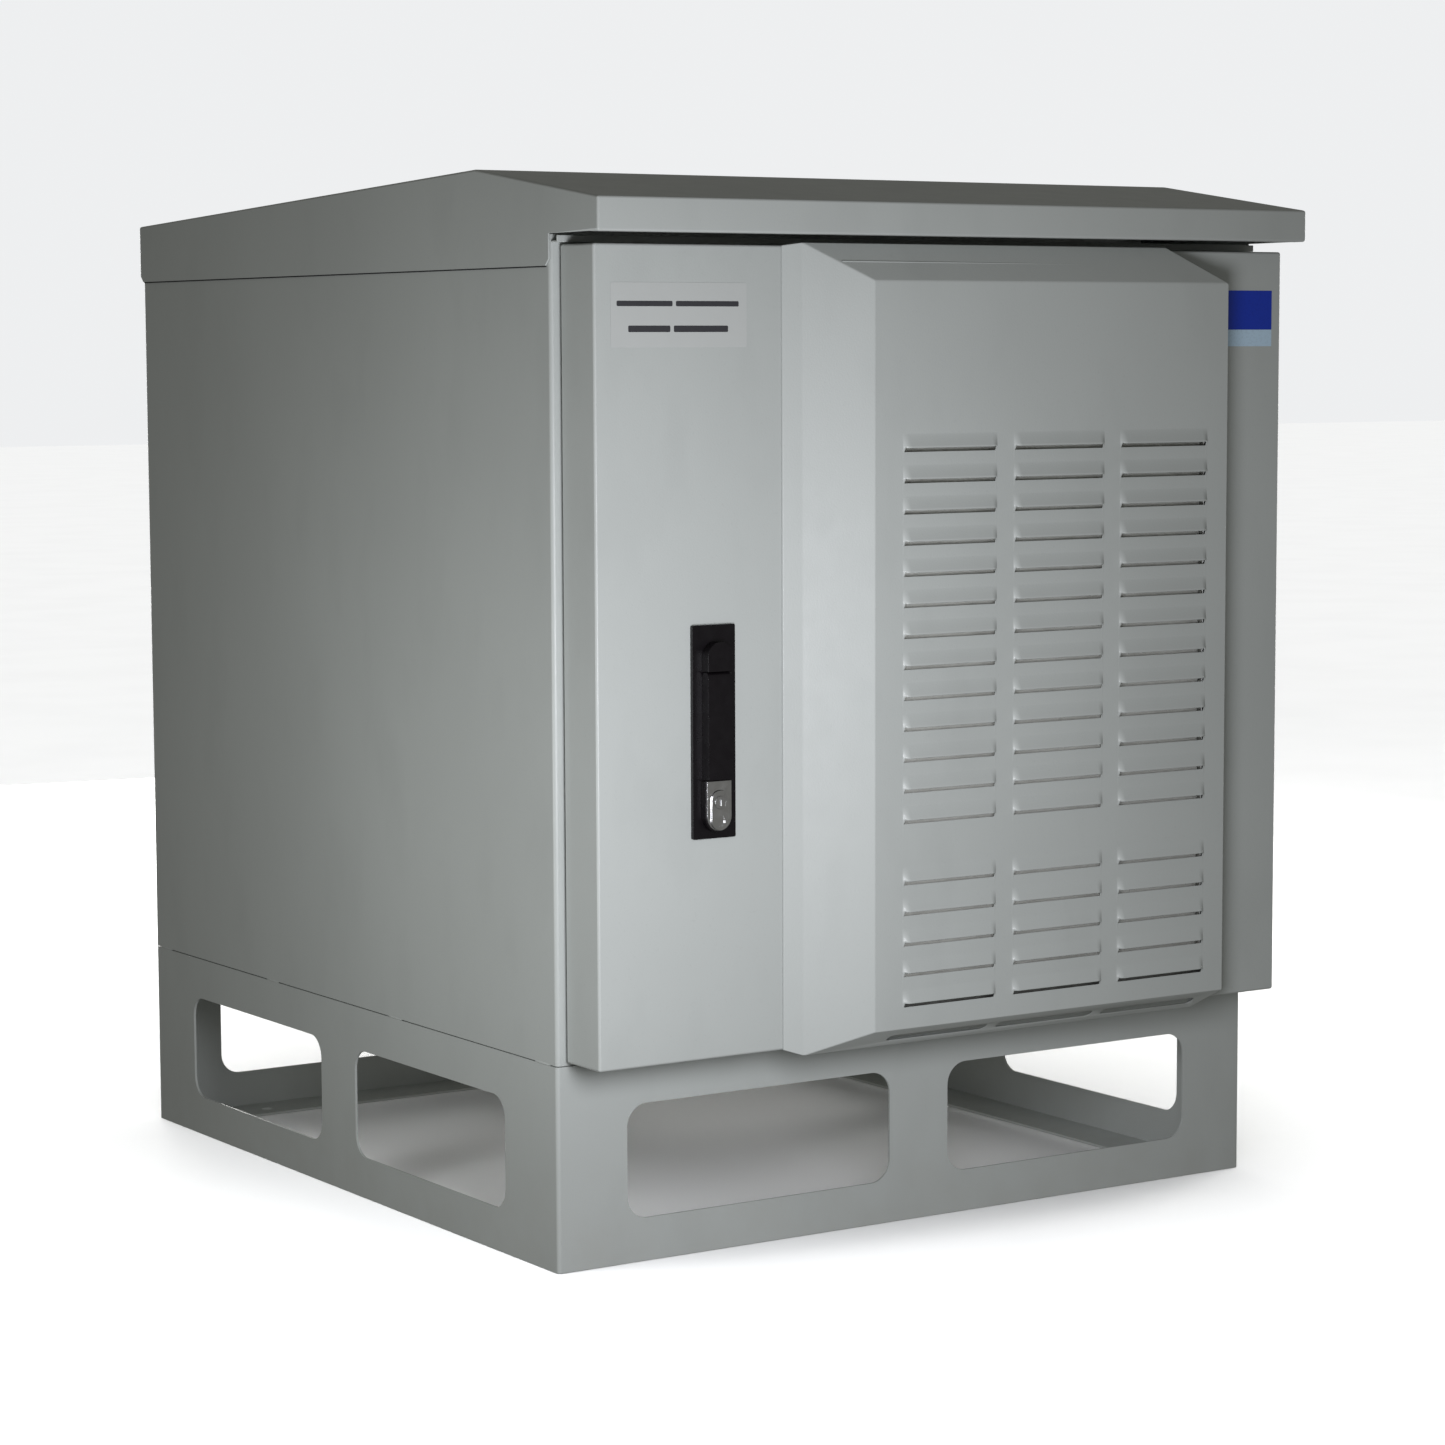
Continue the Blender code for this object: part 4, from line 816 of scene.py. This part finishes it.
def slotted_face(corners):
    """The flat face under the hood, through its corners, with a rounded slot under each louvre column."""
    origin, along_end, _, up_end = (Vector(corner) for corner in corners)
    along = (along_end - origin).normalized()
    normal = along.cross(up_end - origin).normalized()
    up = normal.cross(along)
    plane = Matrix((along, up, normal)).transposed().to_4x4()
    plane.translation = origin
    inverse = plane.inverted()
    outline = [tuple((inverse @ Vector(corner))[:2]) for corner in corners]
    radius = UNDER_SLOT_RADIUS
    holes = []
    for centre in LOUVRE_CENTRES:
        x = centre + UNDER_SLOT_SHIFT - origin.x
        ends = arc((x + UNDER_SLOT_HALF - radius, UNDER_SLOT_MIDDLE), radius, -90, 90, 8)
        ends += arc((x - UNDER_SLOT_HALF + radius, UNDER_SLOT_MIDDLE), radius, 90, 270, 8)
        holes.append(ends)
    mesh = flat_fill(outline, holes)
    mesh.transform(plane)
    return mesh


def hood_corners():
    """The hood's corners: the first letter after the name is left or right, the second low or high."""
    low, high = HOOD_LOW.z, HOOD_HIGH.z
    left, right = HOOD_LOW.x, HOOD_HIGH.x
    return {
        "front_ll": (PANEL_LEFT, HOOD_FACE, PANEL_LOW), "front_lh": (PANEL_LEFT, HOOD_FACE, PANEL_HIGH),
        "front_rl": (PANEL_RIGHT, HOOD_FACE, PANEL_LOW), "front_rh": (PANEL_RIGHT, HOOD_FACE, PANEL_HIGH),
        "rim_ll": (RIM_LEFT, HOOD_RIM, low), "rim_lh": (RIM_LEFT, HOOD_RIM, high),
        "rim_rl": (RIM_LOW_END, HOOD_RIM, low), "rim_rh": (RIM_TOP_END, HOOD_RIM, high),
        "step_ll": (left, HOOD_STEP, DOOR_LOW.z), "step_lh": (left, HOOD_STEP, DOOR_HIGH.z),
        "base_ll": (left, HOOD_BASE, DOOR_LOW.z), "base_lh": (left, HOOD_BASE, DOOR_HIGH.z),
        "base_rl": (RIM_LOW_END, HOOD_BASE, low), "base_rh": (RIM_TOP_END, HOOD_BASE, high),
        "side_rl": (right, HOOD_BASE, SIDE_LOW), "side_rh": (right, HOOD_BASE, SIDE_HIGH),
    }


HOOD_SIDES = (
    "base_ll step_ll step_lh base_lh",
    "step_ll rim_ll rim_lh step_lh",
    "rim_ll front_ll front_lh rim_lh",
    "rim_lh front_lh front_rh rim_rh",
    "base_lh step_lh rim_lh rim_rh base_rh",
    "rim_rh front_rh side_rh",
    "base_rh rim_rh side_rh",
    "side_rh front_rh front_rl side_rl",
    "side_rl front_rl rim_rl",
    "side_rl rim_rl base_rl",
    "base_ll base_rl rim_rl rim_ll step_ll",
)


def build_hood(work):
    """The hood as one open sheet, with the edges marked that are folds."""
    corners = hood_corners()
    panel = build_louvred_panel(work, HOOD_FACE)
    made = {(x, HOOD_FACE, z): vert for (x, z), vert in panel.items()}
    for side in HOOD_SIDES:
        points = [corners[name] for name in side.split()]
        for point in points:
            if point not in made:
                made[point] = work.verts.new(point)
        work.faces.new([made[point] for point in points])
    under = [corners[name] for name in ("rim_ll", "rim_rl", "front_rl", "front_ll")]
    work.from_mesh(slotted_face(under))
    bmesh.ops.remove_doubles(work, verts=work.verts, dist=2e-6)
    bmesh.ops.recalc_face_normals(work, faces=work.faces)
    outward = max(work.faces, key=lambda face: face.calc_area() if abs(face.normal.y) > 0.99 else 0.0)
    if outward.normal.y > 0:
        bmesh.ops.reverse_faces(work, faces=work.faces)
    weights = work.edges.layers.float.new("bevel_weight_edge")
    for edge in work.edges:
        louvre = any(
            PANEL_LEFT < vert.co.x < PANEL_RIGHT and PANEL_LOW < vert.co.z < PANEL_HIGH for vert in edge.verts
        )
        if not louvre and edge.calc_face_angle(0.0) > math.radians(4):
            edge[weights] = 1.0


def make_hood():
    """The raised hood: louvred front, sloping left, top and bottom, steep right side with cut corners."""
    work = bmesh.new()
    build_hood(work)
    mesh = bpy.data.meshes.new("louvred_hood")
    work.to_mesh(mesh)
    work.free()
    obj = piece("louvred_hood", mesh, "door", "grey_paint", ("louvre_hood",), edge=0.0)
    obj.modifiers.clear()
    folds = obj.modifiers.new("folds", "BEVEL")
    folds.width = HOOD_SHEET
    folds.segments = 3
    folds.limit_method = "WEIGHT"
    sheet = obj.modifiers.new("sheet", "SOLIDIFY")
    sheet.thickness = HOOD_SHEET
    sheet.offset = -1.0
    normals = obj.modifiers.new("normals", "WEIGHTED_NORMAL")
    normals.keep_sharp = True
    mesh.set_sharp_from_angle(angle=math.radians(48))
    corners = hood_corners()
    start = (Vector(corners["rim_lh"]) + Vector(corners["front_lh"])) / 2
    seam = rod(start + Vector((0.004, 0.0003, 0.0)), start + Vector((0.290, 0.0006, -0.0006)), 0.0009, 16)
    piece("hood_seam", seam, "door", "grey_paint", edge=0.0)


def make_handle():
    """The swing handle: its plate on the door, the hub that turns and the lever that lifts."""
    black = "black_plastic"
    low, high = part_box("handle_plate")
    outline = rounded(low.x, high.x, low.z, high.z, 0.0015, 4)
    backing = prism(outline, "Y", low.y, high.y, [circle((HANDLE_X, TURN_Z), 0.0075, 24)])
    piece("handle_plate_skin", backing, "door", black, ("handle_plate",), edge=0.0009, steps=3)
    low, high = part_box("handle_hub")
    outline = arc((HANDLE_X, TURN_Z), LEVER_HALF, 0, 180, 24)
    outline += [(HANDLE_X - LEVER_HALF, low.z), (HANDLE_X + LEVER_HALF, low.z)]
    hub = prism(outline, "Y", low.y, high.y)
    piece("handle_hub_skin", hub, "handle", black, ("handle_hub",), edge=0.0016, steps=4, limit=40)
    low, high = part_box("handle_lever")
    half = (high.y - low.y) / 2
    side = arc(((low.y + high.y) / 2, high.z - half), half, 0, 180, 16)
    side += [(low.y, low.z), (high.y, low.z)]
    lever = prism(side, "X", low.x, high.x)
    piece("handle_lever_skin", lever, "lever", black, ("handle_lever",), edge=0.0022, steps=4, limit=40)


def lock_outline(low, high, half):
    """Square at the top, and round at the bottom about the lock's own middle."""
    foot = arc((HANDLE_X, low.z + LEVER_HALF), half, 180, 360, 28)
    return [(HANDLE_X + half, high.z), (HANDLE_X - half, high.z), *foot]


def make_lock():
    """The bright lock under the lever: housing, black collar, push button and key core."""
    low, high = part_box("lock_housing")
    button_low, button_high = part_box("lock_button")
    core_low, core_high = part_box("lock_core")
    half = (button_high.x - button_low.x) / 2
    ends = (button_low.z + half, button_high.z - half)
    outline = lock_outline(low, high, LEVER_HALF)
    housing = prism(outline, "Y", low.y, high.y, [stadium(half + 0.0004, *ends)])
    piece("lock_body", housing, "door", "chrome_metal", ("lock_housing",), edge=0.0007, steps=3)
    outer = lock_outline(low, high, LEVER_HALF + COLLAR)
    inner = lock_outline(low, high, LEVER_HALF - 0.0002)
    collar = prism([outer[0], inner[0], *reversed(inner[1:]), *outer[1:]], "Y", low.y + 0.0012, high.y)
    piece("lock_surround", collar, "door", "black_plastic", edge=0.0005, steps=3)
    z = (core_low.z + core_high.z) / 2
    radius = (core_high.z - core_low.z) / 2
    hole = circle((HANDLE_X, z), radius + SLIT)
    button = prism(stadium(half, *ends), "Y", button_low.y, button_high.y, [hole])
    thumb = Vector((HANDLE_X, button_low.y, button_low.z + 0.009))
    dish = rod(thumb - Vector((0, 0.002, 0)), thumb + Vector((0, 0.0012, 0)), 0.0062, 32, 0.0048)
    button = cut(button, dish)
    piece("lock_button_skin", button, "lock_button", "chrome_metal", ("lock_button",), edge=0.0006, steps=3)
    core = rod((HANDLE_X, core_low.y, z), (HANDLE_X, core_high.y, z), radius, 40)
    keyway = centred(HANDLE_X, 0.0007, (core_low.y - 0.001, core_low.y + 0.003), (z - 0.0032, z + 0.0032))
    core = cut(core, keyway)
    piece("lock_core_skin", core, "lock_core", "chrome_metal", ("lock_core",), edge=0.0005, steps=3)


def make_labels():
    """A printed film with plain bars where the lettering was, and a plain two-tone sticker."""
    film = plate(*LABEL, 0.002, FILM_FRONT, FILM_REAR)
    piece("label_film", film, "door", LABEL_FILM, edge=0.0)
    bars = []
    for z, tall, *row in BAR_ROWS:
        for x, half in row:
            bars.append(plate(
                x - half, x + half, z - tall, z + tall, 0.0012, FILM_FRONT - 0.0001, FILM_FRONT - 0.00001,
            ))
    piece("label_bars", together(*bars), "door", LABEL_INK, edge=0.0)
    left, right, low, high = STICKER
    split = low + STICKER_BAND * (high - low)
    field = plate(left, right, split, high, 0.0008, FILM_FRONT, FILM_REAR)
    piece("sticker_field", field, "door", STICKER_BLUE, edge=0.0)
    band = plate(left, right, low, split - 0.0001, 0.0008, FILM_FRONT, FILM_REAR)
    piece("sticker_band", band, "door", STICKER_LIGHT, edge=0.0)


def make_gasket():
    """The foam seal all round the inside of the door."""
    low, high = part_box("door_gasket")
    width = 0.011
    hole = rounded(low.x + width, high.x - width, low.z + width, high.z - width, 0.003)
    seal = plate(low.x, high.x, low.z, high.z, 0.006, low.y, high.y, [hole])
    piece("door_seal", seal, "door", "foam_rubber", ("door_gasket",), edge=0.0009, steps=3)


def cushion(low, high, columns, rows, thin, seed):
    """A crowned closed pad between two corners, thinner at its edges, with soft uneven faces."""
    middle = (Vector(low) + Vector(high)) / 2
    half = (Vector(high) - Vector(low)) / 2

    def place(side, i, j):
        u = 2 * i / columns - 1
        v = 2 * j / rows - 1
        x = middle.x + half.x * math.sin(math.pi / 2 * u)
        z = middle.z + half.z * math.sin(math.pi / 2 * v)
        edge = (1 - abs(u) ** 10) * (1 - abs(v) ** 10)
        bulge = thin + (1 - thin) * edge ** 0.5
        wave = noise.noise(Vector((x * 28 + seed, z * 28, side * 3.0)))
        return (x, middle.y + side * half.y * bulge * (0.90 + 0.10 * wave), z)

    def build(work):
        sheets = []
        for side in (-1, 1):
            sheet = [[work.verts.new(place(side, i, j)) for i in range(columns + 1)] for j in range(rows + 1)]
            sheets.append(sheet)
        for sheet in sheets:
            for j in range(rows):
                for i in range(columns):
                    work.faces.new((sheet[j][i], sheet[j][i + 1], sheet[j + 1][i + 1], sheet[j + 1][i]))
        loop = [(0, i) for i in range(columns)] + [(j, columns) for j in range(rows)]
        loop += [(rows, i) for i in range(columns, 0, -1)] + [(j, 0) for j in range(rows, 0, -1)]
        first, second = ([sheet[j][i] for j, i in loop] for sheet in sheets)
        for here in range(len(loop)):
            there = (here + 1) % len(loop)
            work.faces.new((first[here], first[there], second[there], second[here]))

    return mesh_from(build)


def make_filter():
    """The filter mat behind the door, and the strip of fleece behind the slots under the hood."""
    low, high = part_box("filter_mat")
    mat = cushion(low, high, 44, 60, 0.45, 1.0)
    piece("filter_pad", mat, "door", "filter_fleece", ("filter_mat",), edge=0.0)
    low = Vector((HOOD_LOW.x + 0.055, DOOR_FACE - 0.0235, HOOD_LOW.z + 0.0135))
    high = Vector((HOOD_HIGH.x - 0.030, DOOR_FACE - 0.0035, HOOD_LOW.z + 0.0305))
    strip = cushion(low, high, 60, 8, 0.6, 7.0)
    piece("filter_strip", strip, "door", "filter_fleece", edge=0.0)


# ---------------------------------------------------------------- fasteners and fine parts


def pan_screw(radius=0.0040, height=0.0022):
    """A domed screw head with a cross recess, standing on the XY plane along +Z."""
    rim = 0.25 * height
    profile = [(radius, 0.0), (radius, rim)]
    for angle in (math.radians(degrees) for degrees in (20, 40, 60, 75)):
        profile.append((radius * math.cos(angle), rim + 0.75 * height * math.sin(angle)))
    head = lathe([*profile, (0.0, height)], 24)
    arm = 0.55 * radius
    wide = 0.13 * radius
    recess = (block((-x, -y, 0.45 * height), (x, y, 2 * height)) for x, y in ((arm, wide), (wide, arm)))
    return cut(head, *recess)


def lathe(profile, segments):
    """A closed solid turned round Z; the profile runs from the rim of its foot to the axis."""

    def build(work):
        *walls, (_, top) = profile
        rings = [[work.verts.new((x, y, z)) for x, y in around(segments, radius)] for radius, z in walls]
        rings.append([work.verts.new((0.0, 0.0, top))] * segments)
        work.faces.new(rings[0])
        for lower, upper in zip(rings, rings[1:]):
            for i in range(segments):
                j = (i + 1) % segments
                corners = (lower[i], lower[j], upper[j], upper[i])
                work.faces.new(corners[:3] if upper[i] is upper[j] else corners)

    return mesh_from(build)


def hex_bolt(across=0.013, height=0.0053, washer=0.0085):
    """A hexagon head on a flat washer, standing on the XY plane along +Z."""
    foot = 0.0014
    top = foot + height
    disc = rod((0, 0, 0), (0, 0, foot), washer, 32)
    radius = across / math.sqrt(3)
    hexagon = prism(circle((0, 0), radius, 6), "Z", foot, top)
    chamfer = ((1.35 * radius, 0.0), (1.35 * radius, foot + 0.72 * height), (0.80 * radius, top), (0.0, top))
    return together(disc, boolean(hexagon, [lathe(chamfer, 48)], "INTERSECT"))


FACING = {
    "-Y": Matrix.Rotation(math.radians(90), 4, "X"),
    "+Y": Matrix.Rotation(math.radians(-90), 4, "X"),
    "-X": Matrix.Rotation(math.radians(-90), 4, "Y"),
    "+Z": Matrix.Identity(4),
}


def scatter(name, mesh, facing, places, body, finish, edge=0.0002):
    """Copies of one small mesh in one piece, each turned a little differently about its own axis."""
    copies = []
    for index, place in enumerate(places):
        turn = Matrix.Rotation(math.radians(23 + 41 * index), 4, "Z")
        copies.append(moved(mesh, Matrix.Translation(place) @ FACING[facing] @ turn))
    piece(name, together(*copies), body, finish, edge=edge, steps=1)


def ring(centre, radius, wire):
    """A wire ring about an axis along Y."""

    def build(work):
        loops = []
        for across, up in around(48, 1.0):
            out = Vector((across, 0.0, up))
            loops.append([
                work.verts.new(Vector(centre) + out * (radius + x) + Vector((0, y, 0)))
                for x, y in around(10, wire)
            ])
        for here, there in zip(loops, loops[1:] + loops[:1]):
            for k in range(10):
                after = (k + 1) % 10
                work.faces.new((here[k], here[after], there[after], there[k]))

    return mesh_from(build)


def make_rack_rails():
    """L-section rails with square cage-nut holes at the standard 15.9, 15.9 and 12.7 mm spacing."""
    sheet = 0.002
    half = RAIL_HOLE_HALF
    for name, side in (("rack_rail_left", -1), ("rack_rail_right", 1)):
        low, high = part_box(name)
        front = block(low, (high.x, low.y + sheet, high.z))
        left, right = (low.x, low.x + sheet) if side < 0 else (high.x - sheet, high.x)
        web = block((left, low.y, low.z), (right, high.y, high.z))
        z = low.z + 0.018
        holes = []
        while z < high.z - 0.012:
            depths = (low.y - 0.01, low.y + 0.01)
            holes.append(centred(side * RAIL_MIDDLE, half, depths, (z - half, z + half)))
            z += RAIL_PATTERN[(len(holes) - 1) % 3]
        mesh = cut(unite(front, web), together(*holes))
        piece(name + "_punched", mesh, "cabinet", "zinc_steel", (name,), edge=0.0003)


def make_equipment_details():
    """Screws of the panel, breakers, earth bar and gland plate, and a plain mark on each breaker."""
    screw = pan_screw()
    low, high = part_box("breaker_panel")
    spots = [(side * RAIL_MIDDLE, low.y, z) for side in (-1, 1) for z in (low.z + 0.012, high.z - 0.012)]
    scatter("panel_screws", screw, "-Y", spots, "cabinet", "zinc_steel")
    for number in (1, 2):
        name = f"breaker_{number}"
        low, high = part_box(name)
        x = (low.x + high.x) / 2
        mark = centred(x, 0.0125, (low.y - 0.0002, low.y + 0.0001), (high.z - 0.0125, high.z - 0.0060))
        piece(f"{name}_marking", mark, "cabinet", LABEL_INK, edge=0.0)
        spots = [(x + side * 0.0088, low.y, low.z + 0.0075) for side in (-1, 1)]
        scatter(f"{name}_clamps", pan_screw(0.0026, 0.0012), "-Y", spots, "cabinet", "zinc_steel", 0.0001)
    low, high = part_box("earth_bar")
    spots = [(low.x, y, (low.z + high.z) / 2) for y in linspace(low.y + 0.045, high.y - 0.045, 7)]
    scatter("earth_bar_screws", pan_screw(0.0050, 0.0030), "-X", spots, "cabinet", "zinc_steel")
    low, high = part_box("gland_plate")
    columns = (low.x + 0.010, 0.0, high.x - 0.010)
    spots = [(x, y, high.z) for x in columns for y in (low.y + 0.008, high.y - 0.008)]
    scatter("gland_plate_screws", screw, "+Z", spots, "cabinet", "zinc_steel")


def linspace(start, end, count):
    return [start + (end - start) * step / (count - 1) for step in range(count)]


def make_battery_details():
    """Ribs, a plain field and pole signs on each block, terminal bolts, and the bolts of the clamp bar."""
    terminals = []
    link_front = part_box("battery_link_1")[0].y
    for number in (1, 2, 3, 4):
        name = f"battery_{number}"
        low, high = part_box(f"battery_block_{number}")
        x = (low.x + high.x) / 2
        terminals += [(x + side * POLE_OFFSET, link_front, POLE_Z) for side in (-1, 1)]
        ribs = []
        for z in (low.z + 0.060, low.z + 0.215):
            start, end = (low.x + 0.012, low.y - 0.0007, z), (high.x - 0.012, low.y + 0.0006, z + 0.0035)
            ribs.append(block(start, end, 0.0005, 2))
        for across in linspace(low.x + 0.022, high.x - 0.022, 3):
            depths = (low.y + 0.060, high.y - 0.030)
            ribs.append(centred(across, 0.006, depths, (high.z - 0.0008, high.z + 0.0016), 0.0010, 2))
        piece(f"{name}_ribs", together(*ribs), "cabinet", "grey_plastic", edge=0.0)
        heights = (low.z + 0.092, low.z + 0.128)
        field = plate(x - 0.040, x + 0.040, *heights, 0.003, low.y - 0.0002, low.y + 0.0001)
        piece(f"{name}_field", field, "cabinet", LABEL_FILM, edge=0.0)
        proud = (low.y - 0.0003, low.y + 0.0002)
        flat = (SIGN_Z - 0.0011, SIGN_Z + 0.0011)
        upright = (SIGN_Z - 0.0040, SIGN_Z + 0.0040)
        arms = ((0.0040, flat), (0.0011, upright))
        plus = (centred(x + POLE_OFFSET, half, proud, heights) for half, heights in arms)
        piece(f"{name}_plus", together(*plus), "cabinet", WARM_RED, edge=0.0)
        minus = centred(x - POLE_OFFSET, 0.0040, proud, flat)
        piece(f"{name}_minus", minus, "cabinet", LABEL_INK, edge=0.0)
    scatter("terminal_bolts", hex_bolt(), "-Y", terminals, "cabinet", "zinc_steel")
    depths, heights = (link_front, link_front + 0.0034), (POLE_Z - 0.010, POLE_Z + 0.010)
    pads = [centred(pole[0], 0.010, depths, heights, 0.0005, 2) for pole in (terminals[0], terminals[-1])]
    piece("terminal_pads", together(*pads), "cabinet", "copper_bar", edge=0.0)
    low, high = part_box("battery_clamp_bar")
    spots = [(x, low.y, (low.z + high.z) / 2) for x in (low.x + 0.018, high.x - 0.018)]
    scatter("clamp_bolts", hex_bolt(0.017, 0.0070, 0.011), "-Y", spots, "cabinet", "zinc_steel")


def make_fan_details(number):
    """A wire guard on a fan, with its four feet and screws."""
    low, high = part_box(f"fan_housing_{number}")
    middle = (low + high) / 2
    wire = 0.0008
    centre = Vector((middle.x, high.y + 0.0016, middle.z))
    rings = [ring(centre, radius, wire) for radius in (0.018, 0.029, 0.040, 0.051)]
    spokes = []
    start = centre + Vector((0, 0.0014, 0))
    for across, up in arc((0, 0), 1.0, 45, 315, 3):
        out = Vector((across, 0.0, up))
        spokes.append(rod(start + out * 0.017, start + out * 0.0735, wire, 12))
    piece(f"fan_guard_{number}", together(*rings, *spokes), "door", "chrome_metal", edge=0.0)
    top = high.y + 0.0034
    spots = [(middle.x + i * 0.0525, top, middle.z + j * 0.0525) for i in (-1, 1) for j in (-1, 1)]
    feet = [rod((x, high.y, z), (x, top, z), 0.0030, 20) for x, _, z in spots]
    piece(f"fan_feet_{number}", together(*feet), "door", "black_plastic", edge=0.0003)
    scatter(f"fan_screws_{number}", pan_screw(), "+Y", spots, "door", "zinc_steel")


def make_door_details():
    """Fan guards, bridge guides for the latch rods and the nuts of the handle."""
    make_fan_details(1)
    make_fan_details(2)
    low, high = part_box("latch_rod_upper")
    inner = DOOR_FACE + COVER_SHEET
    left, right = low.x - 0.0006, high.x + 0.0006
    sheet = GUIDE_SHEET
    top = high.y + 0.0007 + sheet
    guides = []
    for z in GUIDE_HEIGHTS:
        parts = (
            (left - sheet, left, inner, top), (right, right + sheet, inner, top),
            (left - sheet, right + sheet, top - sheet, top),
            (left - 0.012, right + 0.012, inner, inner + sheet),
        )
        guides.append(unite(*(block((x0, y0, z), (x1, y1, z + GUIDE_TALL)) for x0, x1, y0, y1 in parts)))
    piece("rod_guides", together(*guides), "door", "zinc_steel", edge=0.0003)
    nuts = [(HANDLE_X, inner, z) for z in NUT_HEIGHTS]
    scatter("handle_nuts", hex_bolt(0.010, 0.0050, 0.0075), "+Y", nuts, "door", "zinc_steel")


# ---------------------------------------------------------------- kept nodes

KEPT = {
    "inner_paint": ("floor_plate", "ceiling_plate", "equipment_shelf", "breaker_panel"),
    "grey_paint": (
        "rain_gutter", "hinge_base_1", "hinge_base_2", "hinge_leaf_1", "hinge_leaf_2",
    ),
    "zinc_steel": (
        "roof_support", "latch_keeper_top", "latch_keeper_bottom", "battery_tray", "battery_clamp_bar",
        "gland_plate", "hinge_pin_1", "hinge_pin_2", "filter_frame",
        "latch_spindle", "latch_rod_upper", "latch_rod_lower",
    ),
    "grey_plastic": ("battery_block_1", "battery_block_2", "battery_block_3", "battery_block_4"),
    "light_plastic": ("breaker_1", "breaker_2"),
    "black_plastic": (
        "cable_gland_1", "cable_gland_2", "fan_housing_1", "fan_housing_2", "fan_rotor_1", "fan_rotor_2",
        "breaker_toggle_1", "breaker_toggle_2",
    ),
    "copper_bar": ("battery_link_1", "battery_link_2", "battery_link_3", "earth_bar"),
}


def refine_kept_nodes():
    for finish, names in KEPT.items():
        for name in names:
            refine_node(name, finish)


# ---------------------------------------------------------------- camera, light and floor


def make_camera():
    """The photograph's view: slightly above, from the front left."""
    azimuth, elevation, roll = (math.radians(angle) for angle in (-33.10, 6.01, -0.23))
    target = Vector((0.057, 0.05135, 0.4371))
    distance = 4.206
    level = math.cos(elevation)
    back = Vector((math.sin(azimuth) * level, -math.cos(azimuth) * level, math.sin(elevation)))
    right = Vector((0, 0, 1)).cross(back).normalized()
    up = back.cross(right)
    turned_right = math.cos(roll) * right + math.sin(roll) * up
    turned_up = -math.sin(roll) * right + math.cos(roll) * up
    data = bpy.data.cameras.new("photo_camera")
    data.sensor_width = 36.0
    data.lens = 94.27
    data.shift_x = 0.0008
    data.shift_y = 0.0178
    camera = bpy.data.objects.new("photo_camera", data)
    turn = Matrix((turned_right, turned_up, back)).transposed().to_4x4()
    camera.matrix_world = Matrix.Translation(target + distance * back) @ turn
    show(camera)
    bpy.context.scene.camera = camera


def area_light(name, place, target, size, power, colour):
    data = bpy.data.lights.new(name, "AREA")
    data.shape = "DISK"
    data.size = size
    data.energy = power
    data.color = colour
    light = bpy.data.objects.new(name, data)
    light.location = place
    light.rotation_euler = (Vector(place) - Vector(target)).to_track_quat("Z", "Y").to_euler()
    light.visible_camera = False
    show(light)


def make_world():
    """Dim, slightly warm light all round on the object, and a pale backdrop."""
    world = bpy.data.worlds.new("studio")
    world.use_nodes = True
    tree = world.node_tree
    dim = tree.nodes["Background"]
    dim.inputs["Color"].default_value = (1.0, 1.0, 0.94, 1.0)
    dim.inputs["Strength"].default_value = 0.155
    pale = tree.nodes.new("ShaderNodeBackground")
    pale.inputs["Color"].default_value = (0.93, 0.94, 0.95, 1.0)
    pale.inputs["Strength"].default_value = 0.92
    seen = tree.nodes.new("ShaderNodeLightPath")
    mix = tree.nodes.new("ShaderNodeMixShader")
    tree.links.new(seen.outputs["Is Camera Ray"], mix.inputs[0])
    tree.links.new(dim.outputs[0], mix.inputs[1])
    tree.links.new(pale.outputs[0], mix.inputs[2])
    tree.links.new(mix.outputs[0], tree.nodes["World Output"].inputs["Surface"])
    bpy.context.scene.world = world


def make_floor():
    floor_mesh = mesh_from(lambda work: bmesh.ops.create_grid(work, x_segments=1, y_segments=1, size=30.0))
    floor = bpy.data.objects.new("floor", floor_mesh)
    floor.location.z = -0.0005
    show(floor)
    surface = Surface("pale_floor", (0.86, 0.865, 0.87), 0.8)
    surface.cloud((0.84, 0.845, 0.85), 3.0, 3.0, 0.4, 0.7)
    floor_mesh.materials.append(surface.material)
    floor.visible_diffuse = False
    floor.visible_glossy = False
    return floor


def make_lights(floor):
    """A soft lamp close to the door, a weak one for the left side, low fills, and light on the floor."""
    front = BODY_FRONT
    cool, warm = (0.975, 0.985, 1.035), (1.0, 0.99, 0.96)
    area_light("key", (-0.63, front - 0.92, 0.52), (-0.20, front, 0.52), 0.50, 9.2, cool)
    left_target = (-0.42, front + 0.10, 0.42)
    area_light("left_lamp", (-1.10, front + 0.12, 0.42), left_target, 0.40, 1.8, (0.98, 1.0, 1.0))
    area_light("right_fill", (3.2, 0.5, 0.5), (0.4, 0.0, 0.5), 1.6, 38.0, warm)
    area_light("rear_fill", (0.5, 3.8, 0.5), (0.0, 0.4, 0.5), 1.6, 42.0, warm)
    data = bpy.data.lights.new("floor_light", "SUN")
    data.energy = 3.1
    data.angle = math.radians(70)
    overhead = bpy.data.objects.new("floor_light", data)
    overhead.rotation_euler = (math.radians(8), math.radians(-6), 0.0)
    show(overhead)
    only_floor = bpy.data.collections.new("floor_only")
    only_floor.objects.link(floor)
    overhead.light_linking.receiver_collection = only_floor


make_plinth()
make_body()
make_weld_spots()
make_roof()
make_roof_shadow_line()
make_door()
make_hood()
make_handle()
make_lock()
make_labels()
make_gasket()
make_filter()
make_rack_rails()
make_equipment_details()
make_battery_details()
make_door_details()
refine_kept_nodes()
make_camera()
make_world()
make_lights(make_floor())
bpy.context.scene.view_settings.view_transform = "Standard"
